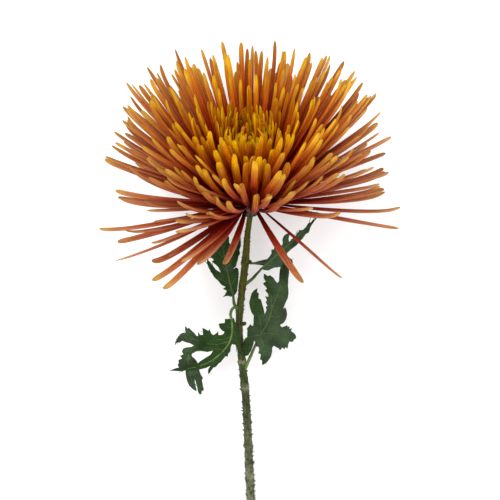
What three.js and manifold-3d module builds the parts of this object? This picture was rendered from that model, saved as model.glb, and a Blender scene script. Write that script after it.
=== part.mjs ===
// A spider chrysanthemum cut with its top leaves, lying on a table.
// Millimetres, +Z up. The stem lies along Y, the head at the +Y end; the table is Z = 0.
// Each solid is drawn in the plant's own frame, whose origin is on the table under the
// base of the head, and the finished group is then centred on its own footprint.
import * as THREE from "three";
import { mergeVertices } from "three/addons/utils/BufferGeometryUtils.js";
import Module from "manifold-3d";

const wasm = await Module();
wasm.setup();

// ---- driving dimensions ----------------------------------------------------------------

const headHeight = 54; // base of the head above the table
const headTilt = 28; // degrees, the head's axis above the horizontal
const headLean = 2.5; // degrees, the axis towards -X
const clearGap = 0.3; // between solids that touch

const rayCount = 240;
const goldenAngle = 137.508; // degrees between one ray and the next
const polarRim = 100; // degrees from the head's axis, outermost rays
const polarEye = 5; // innermost rays
const crowding = 0.92; // below 1 sets the rays closer together towards the eye
const receptacleRadius = 8;
const receptacleHeight = 9;
const rayLength = 73; // the longest, well inside the rim
const eyeShorter = 36; // what the eye's rays lack of it
const outerShorter = 11; // what the outer rays lack
const rimLonger = 6; // what the rim gains again
const rayWidth = 4.5;
const rayDepth = 3.0;
const gapLeft = 24; // degrees from the front, where the outer rays part over the stem
const gapRight = 66;
const raySteps = 24; // straight steps in a ray's centreline

const stemRadius = 2.1;
const stemRibs = 6;
const involucreRadius = 8.2;
const involucreDepth = 6.5;
const bractsPerRow = 12;
const bladeThickness = 0.8;

// ---- small helpers ---------------------------------------------------------------------

const vec = (x, y, z) => new THREE.Vector3(x, y, z);
const radians = THREE.MathUtils.degToRad;
const { lerp, smoothstep } = THREE.MathUtils;

// A repeatable random number from 0 to 1 for item k, one for each salt.
function draw(k, salt) {
  const wave = Math.sin(k * 12.9898 + salt * 78.233) * 43758.5453;
  return wave - Math.floor(wave);
}

// A closed three.js geometry as a solid that can be joined and cut.
function solidOf(geometry) {
  const bare = geometry.index ? geometry.toNonIndexed() : geometry.clone();
  bare.deleteAttribute("normal");
  bare.deleteAttribute("uv");
  const merged = mergeVertices(bare, 1e-4);
  const corners = merged.index.array;
  const faces = [];
  for (let i = 0; i < corners.length; i += 3) {
    const [a, b, c] = [corners[i], corners[i + 1], corners[i + 2]];
    if (a !== b && b !== c && a !== c) faces.push(a, b, c);
  }
  const vertProperties = new Float32Array(merged.attributes.position.array);
  const closed = () =>
    new wasm.Manifold(new wasm.Mesh({ numProp: 3, vertProperties, triVerts: new Uint32Array(faces) }));
  const solid = closed();
  if (solid.volume() > 0) return solid;
  faces.reverse(); // it was inside out
  return closed();
}

function geometryOf(solid) {
  const { numProp, numVert, vertProperties, triVerts } = solid.getMesh();
  const points = new Float32Array(numVert * 3);
  for (let i = 0; i < numVert; i++) {
    points.set(vertProperties.subarray(i * numProp, i * numProp + 3), i * 3);
  }
  const geometry = new THREE.BufferGeometry();
  geometry.setAttribute("position", new THREE.BufferAttribute(points, 3));
  geometry.setIndex(new THREE.BufferAttribute(triVerts, 1));
  geometry.computeVertexNormals();
  return geometry;
}

const joined = (solids) => wasm.Manifold.union(solids);

// The largest body of a solid, without what a cut left loose or the pockets sealed inside it.
function largestBody(solid) {
  return solid.decompose().sort((a, b) => b.volume() - a.volume())[0];
}

const table = solidOf(new THREE.BoxGeometry(1000, 1000, 100).translate(0, 0, -50));

// A turned profile, whose points are [radius, along], bent along a path. place(along) gives the
// path's point there, and its two cross axes with their lengths.
function sweptSolid(profile, sides, place) {
  const points = profile.map(([radius, along]) => new THREE.Vector2(radius, along));
  const geometry = new THREE.LatheGeometry(points, sides);
  const position = geometry.attributes.position;
  for (let i = 0; i < position.count; i++) {
    const { point, across, through } = place(position.getY(i));
    const bent = point.clone();
    bent.addScaledVector(across, position.getX(i));
    bent.addScaledVector(through, position.getZ(i));
    position.setXYZ(i, bent.x, bent.y, bent.z);
  }
  return solidOf(geometry);
}

// Cross axes for a curve at a share along it, the first kept square to a reference direction.
function curvePlace(curve, reference, radiusAt) {
  return (along) => {
    const share = THREE.MathUtils.clamp(along, 0, 1);
    const tangent = curve.getTangent(share);
    const across = reference.clone().cross(tangent).normalize();
    const through = tangent.clone().cross(across);
    const radius = radiusAt(share);
    return {
      point: curve.getPoint(share),
      across: across.multiplyScalar(radius),
      through: through.multiplyScalar(radius),
    };
  };
}

// ---- the head's own frame --------------------------------------------------------------

const [tilt, lean] = [radians(headTilt), radians(headLean)];
const head = {
  base: vec(0, 0, headHeight),
  axis: vec(-Math.sin(lean), Math.cos(lean) * Math.cos(tilt), Math.cos(lean) * Math.sin(tilt)),
  right: vec(Math.cos(lean), Math.sin(lean) * Math.cos(tilt), Math.sin(lean) * Math.sin(tilt)),
};
head.front = head.right.clone().cross(head.axis);

// Directions round the axis: azimuth 0 faces up from the table, 90 is the right side.
function outward(azimuth) {
  const turn = radians(azimuth);
  return head.front.clone().multiplyScalar(Math.cos(turn)).addScaledVector(head.right, Math.sin(turn));
}

function headPoint(radius, height, azimuth) {
  return head.base.clone().addScaledVector(outward(azimuth), radius).addScaledVector(head.axis, height);
}

// A turned solid on the head's axis, from [radius, height] points.
function turnedOnAxis(profile, sides) {
  const place = (height) => ({
    point: head.base.clone().addScaledVector(head.axis, height),
    across: head.right,
    through: head.front,
  });
  return sweptSolid(profile, sides, place);
}

// ---- the rays --------------------------------------------------------------------------

// Single rays across the front gap, where the stem shows, and others that curl up before it.
const frontRays = [
  { azimuth: -14, polar: 101, length: 44, bend: 20 },
  { azimuth: -27, polar: 100, length: 48, bend: 16 },
  { azimuth: -34, polar: 103, length: 68, bend: 6 },
  { azimuth: -39, polar: 101, length: 67, bend: 10 },
  { azimuth: -36, polar: 74, length: 52, bend: 20 },
  { azimuth: -25, polar: 68, length: 41, bend: 38 },
  { azimuth: -20, polar: 58, length: 46, bend: 34 },
  { azimuth: 21, polar: 103, length: 61, bend: 4 },
  { azimuth: 38, polar: 103, length: 66, bend: 2 },
  { azimuth: 41, polar: 75, length: 63, bend: 10 },
  { azimuth: 6, polar: 56, length: 46, bend: 38 },
  { azimuth: 22, polar: 60, length: 42, bend: 38 },
  { azimuth: 30, polar: 51, length: 50, bend: 34 },
  { azimuth: 43, polar: 56, length: 56, bend: 24 },
];

// Ray k of the spiral, counted from the rim inwards.
function spiralRay(k) {
  const inward = k / (rayCount - 1);
  const polar = lerp(polarRim, polarEye, inward ** crowding) + 9 * (draw(k, 1) - 0.5);
  const spread = ((k * goldenAngle) % 360) - 180 + 10 * (draw(k, 2) - 0.5);
  const gap = (spread > 0 ? gapRight : gapLeft) * smoothstep(polar, 60, 80);
  const azimuth = Math.sign(spread) * (gap + Math.abs(spread) * (1 - gap / 180));
  const full = rayLength - eyeShorter * (1 - smoothstep(polar, 0, 38));
  const outer = rimLonger * smoothstep(polar, 86, 98) - outerShorter * smoothstep(polar, 50, 80);
  const length = (full + outer) * (1 + 0.16 * (draw(k, 3) - 0.55));
  const bend = lerp(26, 11, smoothstep(polar, 8, 45)) + 16 * (draw(k, 4) - 0.5);
  return { k, inward, azimuth, polar, length, bend };
}

function allRays() {
  const spiral = Array.from({ length: rayCount }, (unused, k) => spiralRay(k));
  const single = frontRays.map((ray, i) => ({ ...ray, k: rayCount + i, inward: 0.12 }));
  return [...spiral, ...single];
}

// The centreline of a ray, in equal steps from the receptacle to the tip. It turns towards the
// axis by its bend, hooks a little at the tip, and near the table it runs along the table.
function rayLine(ray) {
  const { k, inward, azimuth, polar, length, bend } = ray;
  const rootRadius = receptacleRadius * Math.sqrt(1 - inward);
  const rootHeight = 2 + (receptacleHeight - 2) * inward;
  const out = outward(azimuth);
  const side = out.clone().cross(head.axis);
  const hook = 24 * draw(k, 5) ** 2;
  const sway = 14 * (draw(k, 6) - 0.5);
  const floor = 0.12 * Math.max(0, 100 - polar) - 0.4;
  const points = [headPoint(rootRadius, rootHeight, azimuth)];
  for (let step = 0; step < raySteps; step++) {
    const along = (step + 0.5) / raySteps;
    const turn = radians(polar + bend * (0.5 - along) - hook * smoothstep(along, 0.8, 1));
    const drift = radians(sway * (along - 0.3));
    const heading = out.clone().multiplyScalar(Math.sin(turn));
    heading.addScaledVector(head.axis, Math.cos(turn)).addScaledVector(side, Math.sin(drift));
    heading.normalize();
    const last = points[points.length - 1];
    const steepest = Math.tanh(Math.max(0, last.z - floor) / 8);
    if (heading.z < -steepest) {
      const level = Math.hypot(heading.x, heading.y);
      const spread = Math.sqrt(1 - steepest ** 2) / level;
      heading.set(heading.x * spread, heading.y * spread, -steepest);
    }
    points.push(last.clone().addScaledVector(heading, length / raySteps));
  }
  return points;
}

// The heart: what the crowded roots of the rays fill, as [radius, height] up its wall.
const heartWall = [
  [receptacleRadius, clearGap],
  [receptacleRadius + 2.5, 3],
  [17, 12],
  [23, 24],
  [23, 32],
  [13, 37],
];

function heartSolid() {
  return turnedOnAxis([[0, clearGap], ...heartWall, [0, 34]], 18);
}

// Whether a point lies well within the heart.
function insideHeart(point) {
  const offset = point.clone().sub(head.base);
  const height = offset.dot(head.axis);
  const radius = offset.addScaledVector(head.axis, -height).length() + 1.2;
  const above = heartWall.findIndex(([, level]) => level > height);
  if (above < 1) return false;
  const [[low, from], [high, to]] = heartWall.slice(above - 1, above + 1);
  return radius < lerp(low, high, (height - from) / (to - from));
}

// Narrow at the root, widest past the middle.
const rayTaper = (along) => lerp(0.42, 1, smoothstep(along, 0, 0.7));

function raySolid(ray) {
  const line = rayLine(ray);
  const small = lerp(0.5, 1, smoothstep(ray.polar, 4, 50));
  const girth = small * (0.92 + 0.2 * draw(ray.k, 7));
  const twist = radians(70 * (draw(ray.k, 8) - 0.5));
  const round = outward(ray.azimuth + 90);
  const place = (along) => {
    const at = Math.min(along * raySteps, raySteps - 1e-6);
    const step = Math.floor(at);
    const tangent = line[step + 1].clone().sub(line[step]).normalize();
    const across = round.clone().addScaledVector(tangent, -round.dot(tangent)).normalize();
    across.applyAxisAngle(tangent, twist * along);
    const through = tangent.clone().cross(across);
    const scale = girth * rayTaper(along);
    return {
      point: line[step].clone().lerp(line[step + 1], at - step),
      across: across.multiplyScalar((scale * rayWidth) / 2),
      through: through.multiplyScalar((scale * rayDepth) / 2),
    };
  };
  const rootAt = Math.max(0, line.findLastIndex(insideHeart) - 1) / raySteps;
  const middle = rootAt > 0.25 ? [] : [[0.95, lerp(rootAt, 0.74, 0.55)]];
  const profile = [[0, rootAt], [0.8, rootAt + 0.01], ...middle, [1, 0.74], [0.66, 0.97], [0, 1]];
  return sweptSolid(profile, 4, place);
}

function bloomSolid() {
  return largestBody(joined([heartSolid(), ...allRays().map(raySolid)]).subtract(table));
}

// ---- the green cup under the head ------------------------------------------------------

function bractSolid(row, i) {
  const azimuth = ((i + row / 2) * 360) / bractsPerRow;
  const reach = [5.6, 7][row];
  const startRadius = [4, 6][row];
  const startHeight = [-5.8, -4.4][row];
  const rise = [0.4, 0.68][row];
  const heading = outward(azimuth).multiplyScalar(1 - rise).addScaledVector(head.axis, rise).normalize();
  const root = headPoint(startRadius, startHeight, azimuth);
  const across = outward(azimuth + 90);
  const through = heading.clone().cross(across);
  const place = (along) => ({
    point: root.clone().addScaledVector(heading, along * reach),
    across: across.clone().multiplyScalar(1.25),
    through: through.clone().multiplyScalar(0.5),
  });
  return sweptSolid([[0, -0.1], [1, 0.25], [0, 1]], 4, place);
}

function involucreSolid() {
  const cup = [
    [0, -involucreDepth],
    [2.6, -involucreDepth],
    [5.4, -5],
    [7.4, -2.4],
    [involucreRadius, 0],
    [0, 0],
  ];
  const rows = [0, 1].flatMap((row) =>
    Array.from({ length: bractsPerRow }, (unused, i) => bractSolid(row, i)),
  );
  const above = solidOf(new THREE.BoxGeometry(200, 60, 200).translate(0, 30, 0));
  const turned = new THREE.Matrix4().makeBasis(head.right, head.axis, head.front.clone().negate());
  const placed = turned.setPosition(head.base).toArray();
  return joined([turnedOnAxis(cup, 24), ...rows]).subtract(above.transform(placed));
}

// ---- the stem --------------------------------------------------------------------------

const stemTop = head.base.clone().addScaledVector(head.axis, -involucreDepth - 1.5 * clearGap);
const stemCurve = new THREE.CatmullRomCurve3([
  vec(1.2, -171, 1.6),
  vec(0.7, -160, 1.9),
  vec(0.1, -146, 4.6),
  vec(-1, -120.8, 10.6),
  vec(-2.1, -100.4, 15.4),
  vec(-2.9, -90.5, 18.2),
  vec(-4.2, -78, 22),
  vec(-5.4, -66, 26),
  vec(-5.5, -56, 29),
  vec(-4.2, -43, 33.2),
  vec(-2.4, -28, 38.8),
  vec(-1.3, -14, 45.4),
  stemTop,
]);
const stemLength = stemCurve.getLength();

// Swollen nodes where leaves join, as places along the stem in shares of its length.
const stemNodes = [0.535, 0.59, 0.695, 0.775, 0.845];

function stemRadiusAt(share) {
  const neck = lerp(1, 0.76, smoothstep(share, 0.84, 0.97));
  const swelling = stemNodes.reduce((sum, node) => {
    return sum + 0.17 * Math.exp(-(((share - node) * stemLength) ** 2) / 5);
  }, 0);
  return stemRadius * (neck + swelling);
}

function stemTube(extra) {
  const stations = [0, 0.12, 0.24, 0.36, 0.46, 0.52, 0.535, 0.55, 0.575, 0.59, 0.605, 0.65, 0.68];
  stations.push(0.695, 0.71, 0.745, 0.775, 0.805, 0.83, 0.845, 0.86, 0.91, 0.96, 1);
  const profile = [[0, 0], ...stations.map((share) => [1, share]), [0, 1]];
  const reference = vec(1, 0, 0);
  const place = curvePlace(stemCurve, reference, (share) => stemRadiusAt(share) + extra);
  return sweptSolid(profile, extra ? 12 : stemRibs * 2, (along) => {
    const spot = place(along);
    return { point: spot.point, across: spot.through, through: spot.across };
  });
}

// A short tapered peg out of the stem: the stub of a cut side shoot, or a bud.
function pegSolid(share, direction, length, radius) {
  const root = stemCurve.getPoint(share);
  const tip = root.clone().addScaledVector(direction.clone().normalize(), length);
  const line = new THREE.LineCurve3(root, tip);
  const place = curvePlace(line, vec(0.2, 0.1, 1), () => radius);
  return sweptSolid([[0, 0], [1, 0.02], [1.05, 0.7], [0.7, 0.96], [0, 1]], 6, place);
}

function stemSolid() {
  const stub = pegSolid(0.592, vec(-1, 0.25, 0.1), 5.2, 1.5);
  const lowBud = pegSolid(0.648, vec(0.9, 0.3, 0.5), 4.2, 1.1);
  const highBud = pegSolid(0.84, vec(0.9, 0.25, 0.35), 3.6, 1);
  return joined([stemTube(0), stub, lowBud, highBud]).subtract(table);
}

// ---- the leaves ------------------------------------------------------------------------

// A leaf, seen from above: its midrib from the blade's base to its tip, and on each side of that
// the lobes' tips and the notches between them in turn, beginning with the lowest lobe's tip.
const leaves = {
  leaf_lower_right: {
    petiole: [vec(-3, -84, 20.5), vec(0.4, -76.5, 24.5)],
    midrib: [vec(3.3, -67.2, 28.5), vec(8.1, -63, 31), vec(11.6, -54, 33.5), vec(14.6, -44, 34),
      vec(18.5, -30, 30)],
    left: [vec(-2, -75.3, 27.2), vec(0.4, -66.4, 29.5), vec(-1, -60, 30), vec(2.1, -59, 31),
      vec(1.6, -44, 35), vec(8.6, -50.5, 33.8), vec(7.2, -33.3, 36.5), vec(13, -40, 34.6)],
    right: [vec(6.7, -80, 25), vec(11.6, -70.4, 29), vec(23.4, -66.2, 27.5), vec(15.4, -60, 32),
      vec(19.2, -51, 32), vec(16.4, -52, 33)],
  },
  leaf_lower_left: {
    petiole: [vec(-6.2, -50.6, 30.6), vec(-9.6, -52.8, 33)],
    midrib: [vec(-9, -58.6, 33.6), vec(-9.3, -66.6, 32.4), vec(-11.4, -70.2, 31), vec(-18.4, -76, 29),
      vec(-26.7, -80.6, 27), vec(-41, -83, 21)],
    left: [vec(-8.4, -71.2, 30), vec(-11.8, -75, 29.4), vec(-15.5, -79.4, 27), vec(-17.6, -79, 27.4),
      vec(-21.5, -84.6, 24), vec(-22.6, -81.2, 26)],
    right: [vec(-12.3, -56.9, 32), vec(-14, -58.8, 32), vec(-16, -58.2, 31), vec(-12.6, -64.4, 32.4),
      vec(-24.4, -61.8, 31), vec(-25.6, -65.6, 31), vec(-33, -60.2, 28), vec(-33.2, -64, 28.4),
      vec(-38.8, -70.2, 20), vec(-23.5, -73.8, 28.6)],
  },
  leaf_upper_left: {
    petiole: [vec(-5, -50.4, 31.5), vec(-7.6, -48, 33.4)],
    midrib: [vec(-8.3, -43.1, 35.4), vec(-10.7, -35.3, 37), vec(-11.9, -29.1, 38), vec(-13.2, -21.6, 38),
      vec(-15.6, -12.8, 37), vec(-18.6, -2.6, 34.6)],
    left: [vec(-13.5, -44.4, 38), vec(-11.6, -40.4, 37), vec(-23.4, -27.8, 33.4), vec(-17, -29.4, 36),
      vec(-21.6, -22.4, 34), vec(-17.4, -20.8, 36.4), vec(-26, -15.6, 32.4), vec(-18, -15.4, 36),
      vec(-23.8, -6.2, 32), vec(-18.4, -8.8, 35.6)],
    right: [vec(-5.6, -38.6, 40), vec(-8, -35, 38.2), vec(-5.5, -29.5, 38.6), vec(-8, -26.2, 38),
      vec(-4.6, -18.4, 34.4), vec(-9.8, -17.2, 37), vec(-8.6, -7.6, 33), vec(-14, -9.4, 36)],
  },
  leaf_upper_right: {
    petiole: [vec(-3, -38.9, 34.8), vec(1.5, -35.2, 38.4)],
    midrib: [vec(6.9, -29.1, 43), vec(11, -25.7, 44.6), vec(15.7, -21.6, 46), vec(20.5, -17.6, 46),
      vec(27.2, -10.8, 45), vec(33.2, -2.8, 43)],
    left: [vec(10.8, -20.6, 47), vec(13.7, -20.6, 47), vec(18.1, -12.8, 50), vec(19.2, -16.6, 47.4),
      vec(24.2, -10.8, 48), vec(25.2, -11.6, 46.4)],
    right: [vec(8.3, -30.8, 42.6), vec(13, -28, 43), vec(15.3, -31.6, 41.6), vec(17, -26.6, 43),
      vec(21.2, -26.4, 42), vec(20.6, -20.4, 44), vec(27.8, -13.6, 42.4), vec(29.6, -9, 43.4)],
  },
  leaf_small_right: {
    petiole: [vec(-2, -27.4, 38.9), vec(0.4, -28, 39)],
    midrib: [vec(2, -28, 39.2), vec(7, -27.5, 39.6), vec(12.4, -27.8, 38.6), vec(20.5, -32, 35)],
    left: [vec(10.4, -24.6, 39.6), vec(12.4, -26, 39), vec(17.8, -26, 38), vec(17.4, -28.4, 37.4)],
    right: [vec(8.4, -30.4, 37.6), vec(11, -29.4, 38), vec(14, -33, 35.6), vec(16, -31, 36.4)],
  },
};

// The lower left leaf's last lobe, which hangs under its tip.
const hangingLobe = {
  midrib: [vec(-27.2, -71.6, 28.4), vec(-30.8, -76.6, 25.4), vec(-30.9, -82.2, 19.6),
    vec(-28.6, -89, 14), vec(-26.1, -96.6, 9)],
  left: [vec(-26.8, -78.2, 24), vec(-28, -82, 19.4), vec(-24.6, -90.4, 13.6), vec(-26, -93.4, 11)],
  right: [vec(-34.8, -72.6, 26), vec(-33.8, -74.6, 25), vec(-37, -79.4, 20.6), vec(-34.4, -82, 18.6),
    vec(-31.8, -91, 13), vec(-28.8, -93, 11.4)],
};

const toothSpacing = 3.6;
const toothHeight = 0.55;
const lobeBulge = 0.06; // of an edge's length, outwards

// The teeth of one edge, between a lobe's tip and a notch. They lean towards the tip.
function toothedEdge(from, to, endsAtTip, hand) {
  const run = to.clone().sub(from).setZ(0);
  const length = run.length();
  const out = vec(-run.y, run.x, 0).multiplyScalar(hand / length);
  const count = Math.max(1, Math.round(length / toothSpacing));
  const step = 1 / (count + 1);
  const spots = [];
  for (let i = 1; i <= count; i++) {
    const peak = [i * step, toothHeight];
    const dip = [(i + (endsAtTip ? 0.3 : -0.3)) * step, 0];
    spots.push(...(endsAtTip ? [peak, dip] : [dip, peak]));
  }
  return spots.map(([share, height]) => {
    const bulge = lobeBulge * length * Math.sin(Math.PI * share);
    return from.clone().addScaledVector(run, share).addScaledVector(out, bulge + height);
  });
}

// How high a blade lies at a spot: near each of its own points, that point's height.
function bladeHeight({ midrib, left, right }, x, y) {
  let [sum, total] = [0, 0];
  for (const point of [...midrib, ...left, ...right]) {
    const weight = ((point.x - x) ** 2 + (point.y - y) ** 2 + 0.01) ** -1.5;
    sum += weight * point.z;
    total += weight;
  }
  return sum / total;
}

// A blade is two thin halves that meet at the midrib.
function bladeSolid(leaf) {
  const { midrib, left, right } = leaf;
  const halves = [[left, 1], [right, -1]].map(([side, hand]) => {
    const corners = [midrib[0], ...side, midrib.at(-1)];
    const outline = corners.flatMap((corner, i) => {
      if (i + 1 === corners.length) return [corner];
      return [corner, ...toothedEdge(corner, corners[i + 1], i % 2 === 0, hand)];
    });
    const shape = new THREE.Shape([...outline, ...midrib.slice(1, -1).reverse()]);
    const half = new THREE.ExtrudeGeometry(shape, { depth: bladeThickness, bevelEnabled: false });
    const position = half.attributes.position;
    for (let i = 0; i < position.count; i++) {
      const height = bladeHeight(leaf, position.getX(i), position.getY(i));
      position.setZ(i, position.getZ(i) + height - bladeThickness / 2);
    }
    return solidOf(half);
  });
  return joined(halves);
}

function leafSolid(leaf, lobes = []) {
  const line = new THREE.CatmullRomCurve3([...leaf.petiole, ...leaf.midrib]);
  const place = curvePlace(line, vec(0, 0, 1), (share) => lerp(1.15, 0.55, share));
  const profile = [[0, 0], [1, 0], [1, 0.2], [1, 0.4], [1, 0.6], [1, 0.8], [1, 0.96], [0, 0.98]];
  const whole = joined([bladeSolid(leaf), sweptSolid(profile, 5, place), ...lobes.map(bladeSolid)]);
  return largestBody(whole.subtract(stemTube(clearGap)).subtract(table));
}

// ---- the nodes -------------------------------------------------------------------------

const paints = {
  bloom: { color: "#a9581d", roughness: 0.55 },
  involucre: { color: "#4b5a2a", roughness: 0.6 },
  stem: { color: "#5b6537", roughness: 0.6 },
  leaf: { color: "#3d4f28", roughness: 0.55 },
};

function meshOf(name, solid, paint) {
  const material = new THREE.MeshStandardMaterial({ ...paint, metalness: 0 });
  material.name = name;
  const mesh = new THREE.Mesh(geometryOf(solid), material);
  mesh.name = name;
  return mesh;
}

const plant = new THREE.Group();
plant.name = "spider_mum";
plant.add(meshOf("bloom", bloomSolid(), paints.bloom));
plant.add(meshOf("involucre", involucreSolid(), paints.involucre));
plant.add(meshOf("stem", stemSolid(), paints.stem));
for (const [name, leaf] of Object.entries(leaves)) {
  const lobes = name === "leaf_lower_left" ? [hangingLobe] : [];
  plant.add(meshOf(name, leafSolid(leaf, lobes), paints.leaf));
}

// The origin goes to the middle of the footprint, on the table.
const footprint = new THREE.Box3().setFromObject(plant);
const middle = footprint.getCenter(vec(0, 0, 0));
plant.position.set(-middle.x, -middle.y, -footprint.min.z);

export default plant;
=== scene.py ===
import bmesh
import bpy
import math
from mathutils import Matrix, Quaternion, Vector


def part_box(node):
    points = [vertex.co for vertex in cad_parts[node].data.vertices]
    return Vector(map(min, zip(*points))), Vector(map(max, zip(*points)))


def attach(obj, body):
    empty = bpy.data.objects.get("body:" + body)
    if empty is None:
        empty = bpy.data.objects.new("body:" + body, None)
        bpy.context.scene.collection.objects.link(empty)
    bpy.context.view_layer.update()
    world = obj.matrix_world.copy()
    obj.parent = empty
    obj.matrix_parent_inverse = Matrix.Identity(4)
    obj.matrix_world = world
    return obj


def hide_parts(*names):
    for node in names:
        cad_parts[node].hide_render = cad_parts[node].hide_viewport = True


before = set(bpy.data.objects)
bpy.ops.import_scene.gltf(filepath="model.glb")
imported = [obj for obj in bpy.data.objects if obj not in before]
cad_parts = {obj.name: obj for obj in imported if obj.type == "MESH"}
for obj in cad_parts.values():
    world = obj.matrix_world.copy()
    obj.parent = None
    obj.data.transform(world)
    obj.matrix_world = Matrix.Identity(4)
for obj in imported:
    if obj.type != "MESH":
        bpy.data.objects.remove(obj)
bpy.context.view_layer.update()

# The plant is drawn in millimetres: the table is z = 0, the base of the head is over the origin
# and the stem runs off along -Y. plantToRow takes that to the frame's metres.
plant = {
    "headHeight": 54.0,
    "headTilt": 28.0,  # degrees, the head's axis above the table
    "headLean": 2.5,  # and to the left
    "stemCorner": Vector((-10.495, -171.1255, 0)),  # lowest corner of the box round the stem
    "tableGap": 0.02,  # nothing goes lower than this
}
mmPerMetre = 1000
tiny = 1e-6  # keeps a division off zero, and a place on a line before its end

# A number for each thing that varies, so that each has random draws of its own.
seeds = {
    "polar": 1, "azimuth": 2, "length": 3, "bend": 4, "hook": 5, "sway": 6, "girth": 7, "twist": 8,
    "eyeGirth": 9, "tone": 10, "tip": 11, "backLength": 12, "thinning": 13,
    "bractTurn": 1, "bractLength": 2,
    "hairPlace": 21, "hairTurn": 22, "hairLength": 23, "hairAim": 24, "hairGirth": 25, "hairShade": 26,
    "fork": 45,
}


def mix(a, b, share):
    return a + (b - a) * share


def ease(value, start, end):  # smooth step from start to end
    share = min(1, max(0, (value - start) / (end - start)))
    return share * share * (3 - 2 * share)


def draw(k, what):  # repeatable random number from 0 to 1
    wave = math.sin(k * 12.9898 + seeds[what] * 78.233) * 43758.5453
    return wave - math.floor(wave)


def wobble(size, k, what):  # up to half the size either way
    return size * (draw(k, what) - 0.5)


def vary(least, extra, k, what, power=1):  # at least this, and up to so much extra
    return least + extra * draw(k, what) ** power


tilt, lean = math.radians(plant["headTilt"]), math.radians(plant["headLean"])
headBase = Vector((0, 0, plant["headHeight"]))
headAxis = Vector((-math.sin(lean), math.cos(lean) * math.cos(tilt), math.cos(lean) * math.sin(tilt)))
headRight = Vector((math.cos(lean), math.sin(lean) * math.cos(tilt), math.sin(lean) * math.sin(tilt)))
headFront = headRight.cross(headAxis)


def outward(azimuth):  # azimuth 0 faces up from the table, 90 is the right side
    turn = math.radians(azimuth)
    return headFront * math.cos(turn) + headRight * math.sin(turn)


def headPoint(radius, height, azimuth):
    return headBase + outward(azimuth) * radius + headAxis * height


def curvePoint(points, share):  # centripetal spline through the points
    last = len(points) - 1
    at = min(max(share, 0), 1) * last
    i = min(int(at), last - 1)
    t = at - i
    p1, p2 = points[i], points[i + 1]
    p0 = points[i - 1] if i > 0 else p1 * 2 - p2
    p3 = points[i + 2] if i + 2 <= last else p2 * 2 - p1
    d0, d1, d2 = ((b - a).length ** 0.5 or 1 for a, b in ((p0, p1), (p1, p2), (p2, p3)))
    m1 = ((p1 - p0) / d0 - (p2 - p0) / (d0 + d1) + (p2 - p1) / d1) * d1
    m2 = ((p2 - p1) / d1 - (p3 - p1) / (d1 + d2) + (p3 - p2) / d2) * d1
    return (p1 * (2 * t**3 - 3 * t**2 + 1) + m1 * (t**3 - 2 * t**2 + t)
            + p2 * (3 * t**2 - 2 * t**3) + m2 * (t**3 - t**2))


def lineLength(line):
    return sum((b - a).length for a, b in zip(line, line[1:]))


def evenCurve(points, count, fineSteps=400):  # the same spline at equal distances
    fine = [curvePoint(points, i / fineSteps) for i in range(fineSteps + 1)]
    reached = [0]
    for a, b in zip(fine, fine[1:]):
        reached.append(reached[-1] + (b - a).length)
    spots, i = [], 0
    for n in range(count):
        goal = reached[-1] * n / (count - 1)
        while i < fineSteps - 1 and reached[i + 1] < goal:
            i += 1
        share = (goal - reached[i]) / max(tiny, reached[i + 1] - reached[i])
        spots.append(fine[i].lerp(fine[i + 1], min(1, share)))
    return spots


# The shift between the two frames comes from where the stem's box ends.
stemLow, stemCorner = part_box("stem")[0], plant["stemCorner"]
rowShift = Vector((stemLow.x - stemCorner.x / mmPerMetre, stemLow.y - stemCorner.y / mmPerMetre, 0))
plantToRow = Matrix.Translation(rowShift) @ Matrix.Scale(1 / mmPerMetre, 4)


# What all the rays share. Turns are in degrees, and polar is the angle from the head's axis.
rayPlan = {
    "goldenAngle": 137.508,
    "goldenShare": 0.618034,
    "length": 73,
    "lengthVaries": 0.16,
    "lengthMiddle": 0.55,  # the draw that leaves a length as it is
    "eyeShorter": 31,
    "eyeRim": (14, 42),  # polar angles over which the rays lengthen round the hollow eye
    "outerShorter": 11,
    "outerFrom": (50, 80),
    "rimLonger": 6,
    "rimFrom": (86, 98),
    "dip": 11,  # the rays before the eye are this much shorter, so that it shows
    "dipSpread": (35, 85),  # fading out over these degrees to either side
    "dipStart": (6, 14),  # and over these polar angles
    "dipEnd": (32, 45),
    "bend": (26, 11),  # how far a ray turns up, in the middle and outside
    "bendFrom": (8, 45),
    "bendVaries": 16,
    "girth": (0.6, 0.98),  # in the middle and outside
    "girthFrom": (4, 60),
    "girthVaries": (0.78, 0.36),
    "hook": 24,  # the most that a tip turns in
    "hookFrom": (0.8, 1),
    "sway": 14,
    "swayFrom": 0.3,
    "rootRadius": 8,  # of the receptacle that they stand on
    "rootHeight": (2, 9),
    "restFrom": 100,  # a ray of this polar angle comes down to the table
    "restStack": 0.12,  # and lies this much higher for each degree inside it
    "restSink": 0.4,
    "restReach": 8,  # it levels out over this height
    "steps": 24,
    "width": 3.5,
    "depth": 2.5,
    "giltSide": 12,  # the rays of the sides and the far side turn copper this much sooner
    "giltBack": 9,
    "giltFade": (40, 88),
}


def newRay(k, inward, azimuth, polar, length, bend, girth, hook=rayPlan["hook"]):
    return {"k": k, "inward": inward, "azimuth": azimuth, "polar": polar,
            "length": length, "bend": bend, "girth": girth, "hook": hook}


def rayLength(polar, k):
    plan = rayPlan
    full = plan["length"] - plan["eyeShorter"] * (1 - ease(polar, *plan["eyeRim"]))
    rim = plan["rimLonger"] * ease(polar, *plan["rimFrom"])
    outer = rim - plan["outerShorter"] * ease(polar, *plan["outerFrom"])
    return (full + outer) * (1 + plan["lengthVaries"] * (draw(k, "length") - plan["lengthMiddle"]))


def rayBend(polar, k):
    plan = rayPlan
    return mix(*plan["bend"], ease(polar, *plan["bendFrom"])) + wobble(plan["bendVaries"], k, "bend")


def rayGirth(polar, k):
    plan = rayPlan
    return mix(*plan["girth"], ease(polar, *plan["girthFrom"])) * vary(*plan["girthVaries"], k, "girth")


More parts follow.
